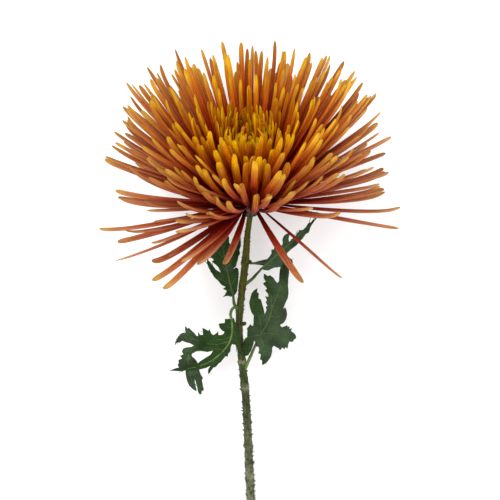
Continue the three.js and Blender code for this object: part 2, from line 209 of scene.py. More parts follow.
def between(amount, polar, start, end):  # fades in over start and out over end
    return amount * ease(polar, *start) * (1 - ease(polar, *end))


def frontDip(azimuth, polar):
    near = 1 - ease(abs(azimuth), *rayPlan["dipSpread"])
    return between(rayPlan["dip"] * near, polar, rayPlan["dipStart"], rayPlan["dipEnd"])


def goldenSpread(i, spread, start=0):  # scattered evenly to either side
    return spread * (2 * ((i * rayPlan["goldenShare"] + start) % 1) - 1)


# The spiral, as the golden angle sets it on the receptacle, counted from the rim inwards.
spiralPlan = {
    "count": 240,
    "polar": (100, 5),  # at the rim and at the eye
    "crowding": 0.92,
    "polarVaries": 9,
    "azimuthVaries": 10,
    "gapLeft": 24,  # degrees from the front, where the outer rays part over the stem
    "gapRight": 66,
    "gapFrom": (60, 80),
    "farLonger": 4.5,  # the rays of the far side are this much longer
    "farSpread": (100, 160),
    "farStart": (12, 34),
    "farEnd": (48, 70),
    "fillFrom": 96,  # between these places of the spiral stand more rays
    "fillTo": 232,
    "fillStep": 1.7,
    "fillOffset": 0.37,
    "thinned": (63, 88),  # between these polar angles this share of the rays is left out
    "thinnedShare": 0.3,
    "outerShare": 0.45,  # of the rays, counted from the rim, that the outer piece holds
}


def spiralRay(k):
    plan = spiralPlan
    inward = k / (plan["count"] - 1)
    polar = mix(*plan["polar"], inward ** plan["crowding"]) + wobble(plan["polarVaries"], k, "polar")
    spread = ((k * rayPlan["goldenAngle"]) % 360) - 180 + wobble(plan["azimuthVaries"], k, "azimuth")
    gap = (plan["gapRight"] if spread > 0 else plan["gapLeft"]) * ease(polar, *plan["gapFrom"])
    azimuth = math.copysign(1, spread) * (gap + abs(spread) * (1 - gap / 180))
    longer = plan["farLonger"] * ease(abs(azimuth), *plan["farSpread"])
    far = between(longer, polar, plan["farStart"], plan["farEnd"])
    length = rayLength(polar, k) - frontDip(azimuth, polar) + far
    return newRay(k, inward, azimuth, polar, length, rayBend(polar, k), rayGirth(polar, k))


def spiralRays():
    plan = spiralPlan
    rays = [spiralRay(k) for k in range(plan["count"])]
    fillCount = int((plan["fillTo"] - plan["fillFrom"]) / plan["fillStep"])
    for i in range(fillCount):
        rays.append(spiralRay(plan["fillFrom"] + i * plan["fillStep"] + plan["fillOffset"]))
    low, high = plan["thinned"]
    return [ray for ray in rays
            if not (low < ray["polar"] < high and draw(ray["k"], "thinning") < plan["thinnedShare"])]


# Upswept rays that fill the front, and the single ones in the gap over the stem.
frontPlan = {
    "count": 50,
    "firstK": 300,
    "spread": 68,  # degrees either side
    "polar": (27, 64),
    "polarVaries": 5,
    "inward": (0.72, 0.36),  # place on the receptacle, 1 is its top
    "length": (61, 63),
    "lengthVaries": (0.88, 0.2),
    "bend": (24, 30),
    "girthVaries": (0.92, 0.2),
    "singlesInward": 0.12,
    # azimuth, polar, length, bend, girth
    "singles": [
        (-14, 101, 44, 20, 1.15), (-27, 100, 48, 16, 1.45), (-34, 103, 68, 6, 1.05),
        (-39, 101, 67, 10, 1.05), (-36, 74, 52, 20, 1.1), (-25, 68, 41, 38, 1.15), (-20, 58, 46, 34, 1.2),
        (21, 103, 61, 4, 1.1), (38, 103, 66, 2, 0.62), (41, 75, 63, 10, 1.0), (6, 56, 46, 38, 1.25),
        (22, 60, 42, 38, 1.2), (30, 51, 50, 34, 1.2), (43, 56, 56, 24, 1.1), (-8, 39, 59, 26, 1.2),
        (-1, 42, 60, 26, 1.25), (7, 40, 60, 28, 1.2), (-15, 43, 60, 26, 1.2), (14, 44, 58, 28, 1.15),
        (-23, 47, 60, 26, 1.15), (22, 46, 61, 26, 1.2), (-30, 52, 58, 26, 1.15),
    ],
}


def singleRay(i):
    azimuth, polar, length, bend, girth = frontPlan["singles"][i]
    return newRay(spiralPlan["count"] + i, frontPlan["singlesInward"], azimuth, polar, length, bend, girth)


def frontRay(i):
    plan = frontPlan
    k = plan["firstK"] + i
    share = (i + 0.5) / plan["count"]
    azimuth = goldenSpread(i, plan["spread"])
    polar = mix(*plan["polar"], share) + wobble(plan["polarVaries"], k, "polar")
    length = mix(*plan["length"], share) * vary(*plan["lengthVaries"], k, "length")
    return newRay(k, mix(*plan["inward"], share), azimuth, polar, length - frontDip(azimuth, polar),
                  mix(*plan["bend"], draw(k, "bend")), vary(*plan["girthVaries"], k, "girth"))


# More rays on the far side, which make up the crown.
backPlan = {
    "count": 90,
    "firstK": 500,
    "spread": 98,
    "start": 0.3,
    "polar": (27, 66),
    "polarVaries": 5,
    "inward": (0.74, 0.36),
    "lengthVaries": (0.93, 0.12),
}


def backRay(i):
    plan = backPlan
    k = plan["firstK"] + i
    share = (i + 0.5) / plan["count"]
    azimuth = 180 + goldenSpread(i, plan["spread"], plan["start"])
    polar = mix(*plan["polar"], share) + wobble(plan["polarVaries"], k, "polar")
    length = rayLength(polar, k) * vary(*plan["lengthVaries"], k, "backLength")
    return newRay(k, mix(*plan["inward"], share), azimuth, polar, length,
                  rayBend(polar, k), rayGirth(polar, k))


# The small florets that still stand closed in the middle.
eyePlan = {
    "count": 112,
    "firstK": 400,
    "polar": 17,
    "inward": (0.82, 0.18),  # at its edge, and how much more in the middle
    "slope": 8,  # the eye slopes down to the front by this much
    "length": (34, 44),  # in the middle and at its edge
    "lengthVaries": (0.9, 0.2),
    "bend": 34,
    "bendVaries": 44,
    "girthVaries": (0.37, 0.18),
    "hook": 70,
}


def eyeRay(i):
    plan = eyePlan
    k = plan["firstK"] + i
    share = (i + 0.5) / plan["count"]
    azimuth = i * rayPlan["goldenAngle"]
    edge, middle = plan["inward"]
    slope = plan["slope"] * share * max(0, math.cos(math.radians(azimuth)))
    length = mix(*plan["length"], share) * vary(*plan["lengthVaries"], k, "length") - slope
    bend = plan["bend"] + wobble(plan["bendVaries"], k, "bend")
    return newRay(k, edge + middle * (1 - share), azimuth, plan["polar"] * math.sqrt(share), length, bend,
                  vary(*plan["girthVaries"], k, "eyeGirth"), plan["hook"])


def giltOf(ray):  # how golden a ray is: the side rays turn copper first
    turn = math.radians(ray["azimuth"])
    side, back = rayPlan["giltSide"] * abs(math.sin(turn)), rayPlan["giltBack"] * (1 - math.cos(turn))
    return 1 - ease(ray["polar"] + side + back, *rayPlan["giltFade"])


def rayLine(ray):  # equal steps from root to tip, turning towards the axis by the bend
    k, plan, polar = ray["k"], rayPlan, ray["polar"]
    radius = plan["rootRadius"] * math.sqrt(max(0, 1 - ray["inward"]))
    out = outward(ray["azimuth"])
    side = out.cross(headAxis)
    hook = ray["hook"] * draw(k, "hook") ** 2
    sway = wobble(plan["sway"], k, "sway")
    rest = plan["restStack"] * max(0, plan["restFrom"] - polar) - plan["restSink"]
    points = [headPoint(radius, mix(*plan["rootHeight"], ray["inward"]), ray["azimuth"])]
    for step in range(plan["steps"]):
        along = (step + 0.5) / plan["steps"]
        turn = math.radians(polar + ray["bend"] * (0.5 - along) - hook * ease(along, *plan["hookFrom"]))
        drift = math.radians(sway * (along - plan["swayFrom"]))
        heading = (out * math.sin(turn) + headAxis * math.cos(turn) + side * math.sin(drift)).normalized()
        steepest = math.tanh(max(0, points[-1].z - rest) / plan["restReach"])
        if heading.z < -steepest:
            spread = math.sqrt(1 - steepest**2) / math.hypot(heading.x, heading.y)
            heading = Vector((heading.x * spread, heading.y * spread, -steepest))
        points.append(points[-1] + heading * (ray["length"] / plan["steps"]))
    return points


def inOrder(items):  # each once, in the same order every run
    return list(dict.fromkeys(items))


def ringEdges(verts):
    ring = set(verts)
    return inOrder(e for v in verts for e in v.link_edges if e.other_vert(v) in ring)


def vertsOf(geom):
    return [g for g in geom if isinstance(g, bmesh.types.BMVert)]


def floatLayers(bm, *names):
    return {name: bm.verts.layers.float.new(name) for name in names}


# A capped tube of stacked rings, each vertex knowing its angle and how far along it is.
def stackedTube(bm, stations, sides, layers):
    ring = bmesh.ops.create_circle(bm, segments=sides, radius=1)["verts"]
    ring.sort(key=lambda v: math.atan2(v.co.y, v.co.x) % (2 * math.pi))
    for i, vert in enumerate(ring):
        vert[layers["angle"]] = 2 * math.pi * i / sides
        vert[layers["along"]] = stations[0]
    edges = ringEdges(ring)
    bmesh.ops.edgeloop_fill(bm, edges=edges)
    tube = list(ring)
    for along in stations[1:]:
        ring = vertsOf(bmesh.ops.extrude_edge_only(bm, edges=edges)["geom"])
        edges = ringEdges(ring)
        for vert in ring:
            vert[layers["along"]] = along
        tube += ring
    bmesh.ops.edgeloop_fill(bm, edges=edges)
    return tube


# Bends the tube's rings along points: radiusAt(along, angle) gives the two half widths there.
def bendAlong(verts, points, across0, radiusAt, layers, twist=0):
    steps = len(points) - 1
    spots = {}
    for vert in verts:
        along, angle = vert[layers["along"]], vert[layers["angle"]]
        if along not in spots:
            at = min(along * steps, steps - tiny)
            step = int(at)
            before, after = points[max(0, step - 1)], points[min(steps, step + 2)]
            tangent = (after - before).normalized()
            across = (across0 - tangent * across0.dot(tangent)).normalized()
            across = Quaternion(tangent, twist * along) @ across
            spots[along] = points[step].lerp(points[step + 1], at - step), across, tangent.cross(across)
        point, across, through = spots[along]
        wide, deep = radiusAt(along, angle)
        vert.co = point + across * (wide * math.cos(angle)) + through * (deep * math.sin(angle))
        if "across" in layers:
            vert[layers["across"]] = math.cos(angle)
        if "facing" in layers:
            vert[layers["facing"]] = math.sin(angle)


def finishPiece(bm, name, materials, node, subdivide=0, thickness=0):
    bmesh.ops.transform(bm, matrix=plantToRow, verts=bm.verts)
    if not thickness:
        bmesh.ops.recalc_face_normals(bm, faces=bm.faces)
    mesh = bpy.data.meshes.new(name)
    bm.to_mesh(mesh)
    bm.free()
    for polygon in mesh.polygons:
        polygon.use_smooth = True
    piece = bpy.data.objects.new(name, mesh)
    bpy.context.scene.collection.objects.link(piece)
    for material in materials:
        mesh.materials.append(material)
    if thickness:
        wall = piece.modifiers.new("blade", "SOLIDIFY")
        wall.thickness = thickness / mmPerMetre
        wall.offset = 0
        wall.material_offset = len(materials) - 1
    if subdivide:
        smooth = piece.modifiers.new("smooth", "SUBSURF")
        smooth.levels = smooth.render_levels = subdivide
    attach(piece, "root")
    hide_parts(node)
    print(f"{name}: {len(mesh.polygons)} faces")


# Materials. Each helper takes the place of its node in the editor, in columns and rows.
def paint(red, green, blue):  # screen colour to scene colour
    linear = []
    for c in (red, green, blue):
        linear.append(c / 255 / 12.92 if c <= 10 else ((c / 255 + 0.055) / 1.055) ** 2.4)
    return (*linear, 1)


def node(tree, kind, place, **values):
    made = tree.nodes.new(kind)
    made.location = (place[0] * 200, place[1] * -180)
    for name, value in values.items():
        setattr(made, name, value)
    return made


def attributes(tree, column, *names):
    found = []
    for row, name in enumerate(names):
        found.append(node(tree, "ShaderNodeAttribute", (column, row), attribute_name=name).outputs["Fac"])
    return found


def feed(tree, socket, value):
    if isinstance(value, bpy.types.NodeSocket):
        tree.links.new(value, socket)
    else:
        socket.default_value = value


def calc(tree, operation, a, b, place, clamp=False):
    made = node(tree, "ShaderNodeMath", place, operation=operation, use_clamp=clamp)
    feed(tree, made.inputs[0], a)
    feed(tree, made.inputs[1], b)
    return made.outputs[0]


def times(tree, a, b, place):
    return calc(tree, "MULTIPLY", a, b, place)


def remap(tree, value, span, place, to=(0.0, 1.0), smooth=True):
    made = node(tree, "ShaderNodeMapRange", place)
    made.interpolation_type = "SMOOTHSTEP" if smooth else "LINEAR"
    for socket, given in zip(("Value", "From Min", "From Max", "To Min", "To Max"), (value, *span, *to)):
        feed(tree, made.inputs[socket], given)
    return made.outputs[0]


def blend(tree, share, a, b, place, kind="MIX"):
    made = node(tree, "ShaderNodeMix", place, data_type="RGBA", blend_type=kind)
    feed(tree, made.inputs["Factor"], share)
    feed(tree, made.inputs[6], a)
    feed(tree, made.inputs[7], b)
    return made.outputs[2]


def grain(tree, coords, scale, place, detail=4.0, roughness=0.6):
    made = node(tree, "ShaderNodeTexNoise", place)
    feed(tree, made.inputs["Vector"], coords)
    made.inputs["Scale"].default_value = scale
    made.inputs["Detail"].default_value = detail
    made.inputs["Roughness"].default_value = roughness
    return made.outputs["Fac"]


def vector(tree, x, y, z, place):
    made = node(tree, "ShaderNodeCombineXYZ", place)
    for socket, value in zip(made.inputs, (x, y, z)):
        feed(tree, socket, value)
    return made.outputs[0]


def ramp(tree, value, stops, place):
    made = node(tree, "ShaderNodeValToRGB", place)
    elements = made.color_ramp.elements
    while len(elements) < len(stops):
        elements.new(0.5)
    for element, (at, colour) in zip(elements, stops):
        element.position = at
        element.color = paint(*colour)
    feed(tree, made.inputs[0], value)
    return made.outputs[0]


# Shared: soft blotches and fine grain, as tissue shows both. Puts out a shade and a height.
tissueInputs = {"Blotch Scale": 120.0, "Grain Scale": 900.0, "Contrast": 0.3}
tissueNoise = {"Blotch Scale": (3.0, 0.7), "Grain Scale": (2.0, 0.3)}  # detail and share of each


def tissueGroup():
    group = bpy.data.node_groups.new("plantTissue", "ShaderNodeTree")
    face = group.interface
    face.new_socket(name="Vector", in_out="INPUT", socket_type="NodeSocketVector")
    for name, value in tissueInputs.items():
        face.new_socket(name=name, in_out="INPUT", socket_type="NodeSocketFloat").default_value = value
    for name in ("Shade", "Height"):
        face.new_socket(name=name, in_out="OUTPUT", socket_type="NodeSocketFloat")
    start = node(group, "NodeGroupInput", (0, 0))
    end = node(group, "NodeGroupOutput", (5, 0))
    shares = []
    for row, (name, (detail, share)) in enumerate(tissueNoise.items()):
        texture = node(group, "ShaderNodeTexNoise", (1, row * 2))
        feed(group, texture.inputs["Vector"], start.outputs["Vector"])
        feed(group, texture.inputs["Scale"], start.outputs[name])
        texture.inputs["Detail"].default_value = detail
        shares.append(times(group, texture.outputs["Fac"], share, (2, row)))
    centred = calc(group, "SUBTRACT", calc(group, "ADD", *shares, (3, 0)), 0.5, (3, 1))
    shade = calc(group, "ADD", times(group, centred, start.outputs["Contrast"], (4, 0)), 1, (4, 1))
    feed(group, end.inputs["Shade"], shade)
    feed(group, end.inputs["Height"], texture.outputs["Fac"])  # of the fine grain
    return group


tissue = tissueGroup()


def placeTissue(tree, coords, scales, place):  # scales: of the blotches, of the grain, and the contrast
    made = node(tree, "ShaderNodeGroup", place)
    made.node_tree = tissue
    feed(tree, made.inputs["Vector"], coords)
    for name, value in zip(tissueInputs, scales):
        made.inputs[name].default_value = value
    return made.outputs["Shade"], made.outputs["Height"]


def newMaterial(name, roughness, shine=0.5):
    material = bpy.data.materials.new(name)
    material.use_nodes = True
    tree = material.node_tree
    surface = tree.nodes["Principled BSDF"]
    surface.inputs["Roughness"].default_value = roughness
    surface.inputs["Specular IOR Level"].default_value = shine
    return material, tree, surface


def coat(tree, surface, colour, shade, place):  # the colour, lighter and darker by the shade
    shaded = blend(tree, 1.0, colour, shade, place, "MULTIPLY")
    feed(tree, surface.inputs["Base Color"], shaded)


def addBump(tree, surface, height, distance, place, strength=1.0):
    bump = node(tree, "ShaderNodeBump", place)
    bump.inputs["Distance"].default_value = distance
    bump.inputs["Strength"].default_value = strength
    feed(tree, bump.inputs["Height"], height)
    tree.links.new(bump.outputs["Normal"], surface.inputs["Normal"])


petalPaint = {
    # places along a ray, root to tip, and the colour there; the dark red towards the root is partly the
    # flower's own red and partly painted shade, deep between the rays
    "inner": [(0.0, (80, 1, 1)), (0.3, (130, 2, 0)), (0.52, (162, 10, 0)), (0.7, (192, 56, 0)),
              (0.84, (210, 106, 1)), (0.93, (226, 142, 2)), (0.985, (246, 186, 8))],
    "outer": [(0.0, (84, 3, 1)), (0.2, (122, 8, 1)), (0.5, (152, 38, 6)), (0.8, (174, 80, 30)),
              (0.95, (186, 120, 58)), (0.99, (200, 148, 62))],
    "eye": [(0.0, (70, 1, 0)), (0.6, (110, 5, 0)), (0.84, (188, 54, 0)), (0.93, (255, 186, 10))],
    "rose": paint(214, 158, 122),  # pale streaks on the outer rays, and the painted highlight along their edges
    "straw": paint(232, 156, 22),  # and on the inner ones
    "paleShare": (0.66, 0.34),  # how strong they are on the outer and the inner rays
    "paleFrom": (0.35, 0.85),  # and where along a ray they come up
    "edge": (0.7, 1.0),  # share of the half width where the painted highlight along the edge starts and is full
    "rimHighlightShare": 0.6,
    "streakAcross": 2.6,
    "streakThrough": 2.2,
    "streakAlong": 2.4,
    "streakOffset": 57,  # from ray to ray
    "streakScale": 3.4,
    "streakFrom": (0.46, 0.64),
    "wander": 0.13,  # how far the colours shift along from ray to ray
    "toneRange": (0.78, 1.12),  # how dark and how light a ray may be
    "tissue": (3.0, 22.0, 1.2),
    "ribs": 8.5,
    "ribShare": 0.5,
    "relief": 0.0005,
    "roughness": 0.5,
    "shine": 0.08,
}


def petalSkin(name, goldStops):
    look = petalPaint
    material, tree, surface = newMaterial(name, look["roughness"], look["shine"])
    along, gilt, tone, across, facing = attributes(tree, -9, "along", "gilt", "tone", "across", "facing")
    shift = times(tree, calc(tree, "SUBTRACT", tone, 0.5, (-8, 1)), look["wander"], (-7, 1))
    shifted = calc(tree, "ADD", along, shift, (-7, 0), clamp=True)
    # the ramps darken towards the root: partly the flower's red, partly painted shade deep in the head
    inner = ramp(tree, shifted, goldStops, (-5, 0))
    outer = ramp(tree, shifted, look["outer"], (-5, 1))
    body = blend(tree, gilt, outer, inner, (-4, 1))
    # streaks run the length of each ray
    moved = calc(tree, "ADD", times(tree, across, look["streakAcross"], (-7, 4)),
                 times(tree, tone, look["streakOffset"], (-7, 5)), (-6, 4))
    spot = vector(tree, moved, times(tree, facing, look["streakThrough"], (-6, 5)),
                  times(tree, along, look["streakAlong"], (-6, 6)), (-5, 5))
    streaks = grain(tree, spot, look["streakScale"], (-4, 5))
    # painted highlight along each ray's edges, lighter towards the sides
    edge = remap(tree, calc(tree, "ABSOLUTE", across, 0, (-5, 4)), look["edge"], (-4, 4),
                 (0.0, look["rimHighlightShare"]))
    # pale streaks of the ray's own colour, together with the painted edge highlight
    lines = calc(tree, "MAXIMUM", remap(tree, streaks, look["streakFrom"], (-3, 5)), edge, (-3, 4))
    pale = times(tree, lines, remap(tree, gilt, (0, 1), (-4, 6), look["paleShare"]), (-2, 5))
    risen = times(tree, pale, remap(tree, along, look["paleFrom"], (-4, 3)), (-2, 4))
    streak = blend(tree, gilt, look["rose"], look["straw"], (-2, 2))
    mixed = blend(tree, risen, body, streak, (-1, 1))
    shade, height = placeTissue(tree, spot, look["tissue"], (-3, 7))
    lit = times(tree, shade, remap(tree, tone, (0, 1), (-2, 8), look["toneRange"], smooth=False), (-1, 7))
    coat(tree, surface, mixed, lit, (0, 1))
    ribs = calc(tree, "SINE", times(tree, across, look["ribs"], (-3, 9)), 0, (-2, 9))
    relief = calc(tree, "ADD", times(tree, ribs, look["ribShare"], (-1, 9)), streaks, (0, 9))
    addBump(tree, surface, relief, look["relief"], (1, 9))
    return material


quillShape = {
    "sides": 8,
    "stations": [0, 0.18, 0.38, 0.58, 0.77, 0.9, 0.965, 0.992, 1],
    "folds": [1, 1.06, 0.5, 1.06, 1, 1.08, 0.84, 1.08],  # how far out each side lies: two grooves
    "rootShare": 0.5,
    "rootTo": 0.5,
    "neckShare": 0.88,
    "neckFrom": (0.6, 0.92),
    "tipFrom": (0.86, 0.955),  # where a pointed and a blunt tip start to close
    "tipClosing": 0.96,
    "tipLeast": 0.05,
    "bluntFrom": (0.05, 0.4),
    "twist": 70,
}


def quillTaper(along, bluntness):
    shape = quillShape
    root = mix(shape["rootShare"], 1, ease(along, 0, shape["rootTo"]))
    body = root * mix(1, shape["neckShare"], ease(along, *shape["neckFrom"]))
    tipFrom = mix(*shape["tipFrom"], bluntness)
    end = max(0, (along - tipFrom) / (1 - tipFrom))
    return body * math.sqrt(max(shape["tipLeast"], 1 - shape["tipClosing"] * end**2))


def buildRays(name, rays, skin):
    bm = bmesh.new()
    layers = floatLayers(bm, "angle", "along", "across", "facing", "tone", "gilt")
    sides = quillShape["sides"]
    stackedTube(bm, quillShape["stations"], sides, layers)
    template = bm.verts[:] + bm.edges[:] + bm.faces[:]
    for ray in rays:
        verts = vertsOf(bmesh.ops.duplicate(bm, geom=template)["geom"])
        k, girth = ray["k"], ray["girth"]
        bluntness = ease(draw(k, "tip"), *quillShape["bluntFrom"])

        def radiusAt(along, angle):
            fold = quillShape["folds"][round(angle * sides / (2 * math.pi)) % sides]
            size = girth * quillTaper(along, bluntness) / 2
            return rayPlan["width"] * size * fold, rayPlan["depth"] * size * fold

        bendAlong(verts, rayLine(ray), outward(ray["azimuth"] + 90), radiusAt, layers,
                  math.radians(wobble(quillShape["twist"], k, "twist")))
        tone, gilt = draw(k, "tone"), giltOf(ray)
        for vert in verts:
            vert.co.z = max(vert.co.z, plant["tableGap"])  # lies flat where it meets the table
            vert[layers["tone"]] = tone
            vert[layers["gilt"]] = gilt
    bmesh.ops.delete(bm, geom=vertsOf(template), context="VERTS")
    finishPiece(bm, name, [skin], "bloom", subdivide=1)


petal = petalSkin("petalSkin", petalPaint["inner"])
eyePetal = petalSkin("eyeSkin", petalPaint["eye"])
spiral = spiralRays()
outerRays = [ray for ray in spiral if ray["inward"] < spiralPlan["outerShare"]]
innerRays = [ray for ray in spiral if ray["inward"] >= spiralPlan["outerShare"]]
outerRays += [singleRay(i) for i in range(len(frontPlan["singles"]))]
innerRays += [frontRay(i) for i in range(frontPlan["count"])]
buildRays("outerRays", outerRays, petal)
buildRays("innerRays", innerRays, petal)
buildRays("backRays", [backRay(i) for i in range(backPlan["count"])], petal)
buildRays("eyeFlorets", [eyeRay(i) for i in range(eyePlan["count"])], eyePetal)
print("rays done")


# Turned shapes on the head's axis.
headTurn = Matrix((headRight, headFront * -1, headAxis)).transposed().to_4x4()
headPlace = Matrix.Translation(headBase) @ headTurn


def turnedOnHead(bm, profile, steps):
    verts = [bm.verts.new((radius, 0, height)) for radius, height in profile]
    edges = [bm.edges.new(pair) for pair in zip(verts, verts[1:])]
    bmesh.ops.spin(bm, geom=verts + edges, cent=(0, 0, 0), axis=(0, 0, 1), dvec=(0, 0, 0),
                   angle=2 * math.pi, steps=steps, use_merge=True)
    bmesh.ops.remove_doubles(bm, verts=bm.verts, dist=0.001)
    bmesh.ops.transform(bm, matrix=headPlace, verts=bm.verts)


receptacle = {
    "wall": [(0, 0.3), (7.4, 0.3), (8.4, 2.5), (9.2, 6), (8.6, 10), (6, 13), (0, 14)],  # radius, height
    "steps": 24,
    "dark": paint(50, 8, 2),
    "light": paint(96, 26, 6),
    "tissue": (300.0, 2500.0, 0.8),
    "relief": 0.0003,
    "roughness": 0.7,
}


def receptacleSkin():
    material, tree, surface = newMaterial("receptacleSkin", receptacle["roughness"])
    place = node(tree, "ShaderNodeTexCoord", (-4, 0)).outputs["Object"]
    shade, height = placeTissue(tree, place, receptacle["tissue"], (-3, 0))
    colour = blend(tree, shade, receptacle["dark"], receptacle["light"], (-1, 0))
    feed(tree, surface.inputs["Base Color"], colour)
    addBump(tree, surface, height, receptacle["relief"], (-1, 2))
    return material


bm = bmesh.new()
turnedOnHead(bm, receptacle["wall"], receptacle["steps"])
finishPiece(bm, "receptacle", [receptacleSkin()], "bloom", subdivide=1)


# The green cup and its bracts.
cup = {
    "wall": [(0, -4.6), (1.8, -4.5), (3.5, -3.4), (5.0, -1.6), (5.8, 0), (0, 0)],
    "steps": 32,
    "perRow": 14,
    "firstK": 600,
    # start radius, start height, rise, reach, width of a bract in each row
    "rows": [(1.9, -4.4, 0.34, 3.8, 1.1), (3.3, -3.6, 0.55, 4.2, 1.2), (4.7, -2.4, 0.8, 4.2, 1.3)],
    "stations": [0, 0.25, 0.5, 0.75, 0.92, 1],
    "sides": 6,
    "turnVaries": 0.25,
    "lengthVaries": (0.9, 0.2),
    "flare": 0.5,  # mm that the tips turn out
    "rootShare": 0.7,
    "rootTo": 0.3,
    "pointing": 1.6,
    "thickness": 0.42,
    "base": paint(24, 30, 10),
    "tips": paint(52, 58, 22),
    "tipsFrom": (0.1, 0.9),
    "edges": paint(112, 100, 60),
    "edgesFrom": (0.6, 1.0),
    "edgesShare": 0.75,
    "tissue": (260.0, 2600.0, 0.7),
    "relief": 0.0002,
    "roughness": 0.6,
}


def bractSkin():
    material, tree, surface = newMaterial("bractSkin", cup["roughness"])
    across, along = attributes(tree, -6, "across", "along")
    place = node(tree, "ShaderNodeTexCoord", (-6, 2)).outputs["Object"]
    shade, height = placeTissue(tree, place, cup["tissue"], (-5, 2))
    edge = remap(tree, calc(tree, "ABSOLUTE", across, 0, (-5, 0)), cup["edgesFrom"], (-4, 0),
                 (0.0, cup["edgesShare"]))
    green = blend(tree, remap(tree, along, cup["tipsFrom"], (-4, 1)), cup["base"], cup["tips"], (-3, 1))
    coat(tree, surface, blend(tree, edge, green, cup["edges"], (-2, 1)), shade, (-1, 1))
    addBump(tree, surface, height, cup["relief"], (-1, 3))
    return material


def buildInvolucre():
    bm = bmesh.new()
    layers = floatLayers(bm, "angle", "along", "across")
    stackedTube(bm, cup["stations"], cup["sides"], layers)
    template = bm.verts[:] + bm.edges[:] + bm.faces[:]
    for row, (radius, height, rise, reach, width) in enumerate(cup["rows"]):

        def radiusAt(along, angle):
            neck = mix(cup["rootShare"], 1, ease(along, 0, cup["rootTo"]))
            wide = width * math.sqrt(max(0.002, 1 - along ** cup["pointing"])) * neck
            return wide, cup["thickness"] * math.sqrt(max(0.01, 1 - along))

        for i in range(cup["perRow"]):
            k = cup["firstK"] + row * cup["perRow"] + i
            azimuth = (i + row / 2 + wobble(cup["turnVaries"], k, "bractTurn")) * 360 / cup["perRow"]
            heading = (outward(azimuth) * (1 - rise) + headAxis * rise).normalized()
            root = headPoint(radius, height, azimuth)
            long = reach * vary(*cup["lengthVaries"], k, "bractLength")
            points = [root + heading * (long * t) + outward(azimuth) * (cup["flare"] * t * t)
                      for t in (0, 0.2, 0.4, 0.6, 0.8, 1)]
            verts = vertsOf(bmesh.ops.duplicate(bm, geom=template)["geom"])
            bendAlong(verts, points, outward(azimuth + 90), radiusAt, layers)
    bmesh.ops.delete(bm, geom=vertsOf(template), context="VERTS")
    wall = bmesh.new()
    turnedOnHead(wall, cup["wall"], cup["steps"])
    wallMesh = bpy.data.meshes.new("cupWall")
    wall.to_mesh(wallMesh)
    wall.free()
    bm.from_mesh(wallMesh)
    bpy.data.meshes.remove(wallMesh)
    finishPiece(bm, "involucreBracts", [bractSkin()], "involucre", subdivide=1)


buildInvolucre()
print("involucre done")


stem = {
    "points": [(1.2, -171, 1.6), (0.7, -160, 1.9), (0.1, -146, 4.6), (-1, -120.8, 10.6),
               (-2.1, -100.4, 15.4), (-2.9, -90.5, 18.2), (-4.2, -78, 22), (-5.4, -66, 26),
               (-5.5, -56, 29), (-4.2, -43, 33.2), (-2.4, -28, 38.8), (-1.3, -14, 45.4)],
    "radius": 2.0,
    "slimmer": [(0.92, (0.5, 0.65)), (0.78, (0.84, 0.97))],  # to what share, and over which stretch
    "nodes": [0.18, 0.455, 0.535, 0.59, 0.695, 0.775, 0.845],  # where leaves and scars sit
    "swelling": 0.13,
    "swellingReach": 5,  # mm squared
    "scars": 3,  # the lowest nodes are bare
    "scarReach": 1.4,
    "ribs": 6,
    "ribDepth": 0.05,
    "ribTwist": 5,
    "lumpDepth": 0.045,
    "lumpWaves": (190, 3, 71),
    "sides": 24,
    "rings": 110,
    "low": paint(122, 124, 98),
    "middle": paint(64, 74, 42),
    "middleFrom": (0.05, 0.5),
    "high": paint(78, 76, 16),
    "highFrom": (0.5, 0.95),
    "streak": paint(36, 40, 20),
    "streakFrom": (0.42, 0.66),
    "streakShare": 0.75,
    "streakAround": 1.6,
    "streakAlong": 16,
    "streakScale": 2.2,
    "scar": paint(150, 150, 122),
    "hair": paint(44, 44, 28),
    "tissue": (5.0, 30.0, 2.0),
    "relief": 0.0005,
    "reliefStrength": 0.8,
    "roughness": 0.55,
    "shine": 0.06,
}
stemTop = headBase - headAxis * 4
stemLine = evenCurve([Vector(p) for p in stem["points"]] + [stemTop], stem["rings"] + 1)
stemSpan = lineLength(stemLine)


def stemRadius(share):
    neck = 1
    for least, stretch in stem["slimmer"]:
        neck *= mix(1, least, ease(share, *stretch))
    swelling = sum(stem["swelling"] * math.exp(-(((share - n) * stemSpan) ** 2) / stem["swellingReach"])
                   for n in stem["nodes"])
    return stem["radius"] * (neck + swelling)


def stemSpot(share):
    at = min(max(share, 0), 1) * stem["rings"]
    i = min(int(at), stem["rings"] - 1)
    return stemLine[i].lerp(stemLine[i + 1], at - i), (stemLine[i + 1] - stemLine[i]).normalized()


def stemSkin():
    material, tree, surface = newMaterial("stemSkin", stem["roughness"], stem["shine"])
    along, across, facing, dark, scar = attributes(tree, -8, "along", "across", "facing", "dark", "scar")
    spot = vector(tree, times(tree, across, stem["streakAround"], (-7, 1)),
                  times(tree, facing, stem["streakAround"], (-7, 2)),
                  times(tree, along, stem["streakAlong"], (-7, 3)), (-6, 1))
    streaks = grain(tree, spot, stem["streakScale"], (-5, 1))
    shade, height = placeTissue(tree, spot, stem["tissue"], (-5, 3))
    low = blend(tree, remap(tree, along, stem["middleFrom"], (-6, 0)), stem["low"], stem["middle"], (-5, 0))
    green = blend(tree, remap(tree, along, stem["highFrom"], (-6, -1)), low, stem["high"], (-4, 0))
    share = remap(tree, streaks, stem["streakFrom"], (-4, 1), (0.0, stem["streakShare"]))
    streaked = blend(tree, share, green, stem["streak"], (-3, 0))
    scarred = blend(tree, times(tree, scar, streaks, (-3, 2)), streaked, stem["scar"], (-2, 1))
    coat(tree, surface, blend(tree, dark, scarred, stem["hair"], (-2, 0)), shade, (-1, 0))
    relief = calc(tree, "ADD", streaks, times(tree, height, 0.5, (-3, 4)), (-2, 4))
    addBump(tree, surface, relief, stem["relief"], (-1, 4), stem["reliefStrength"])
    return material


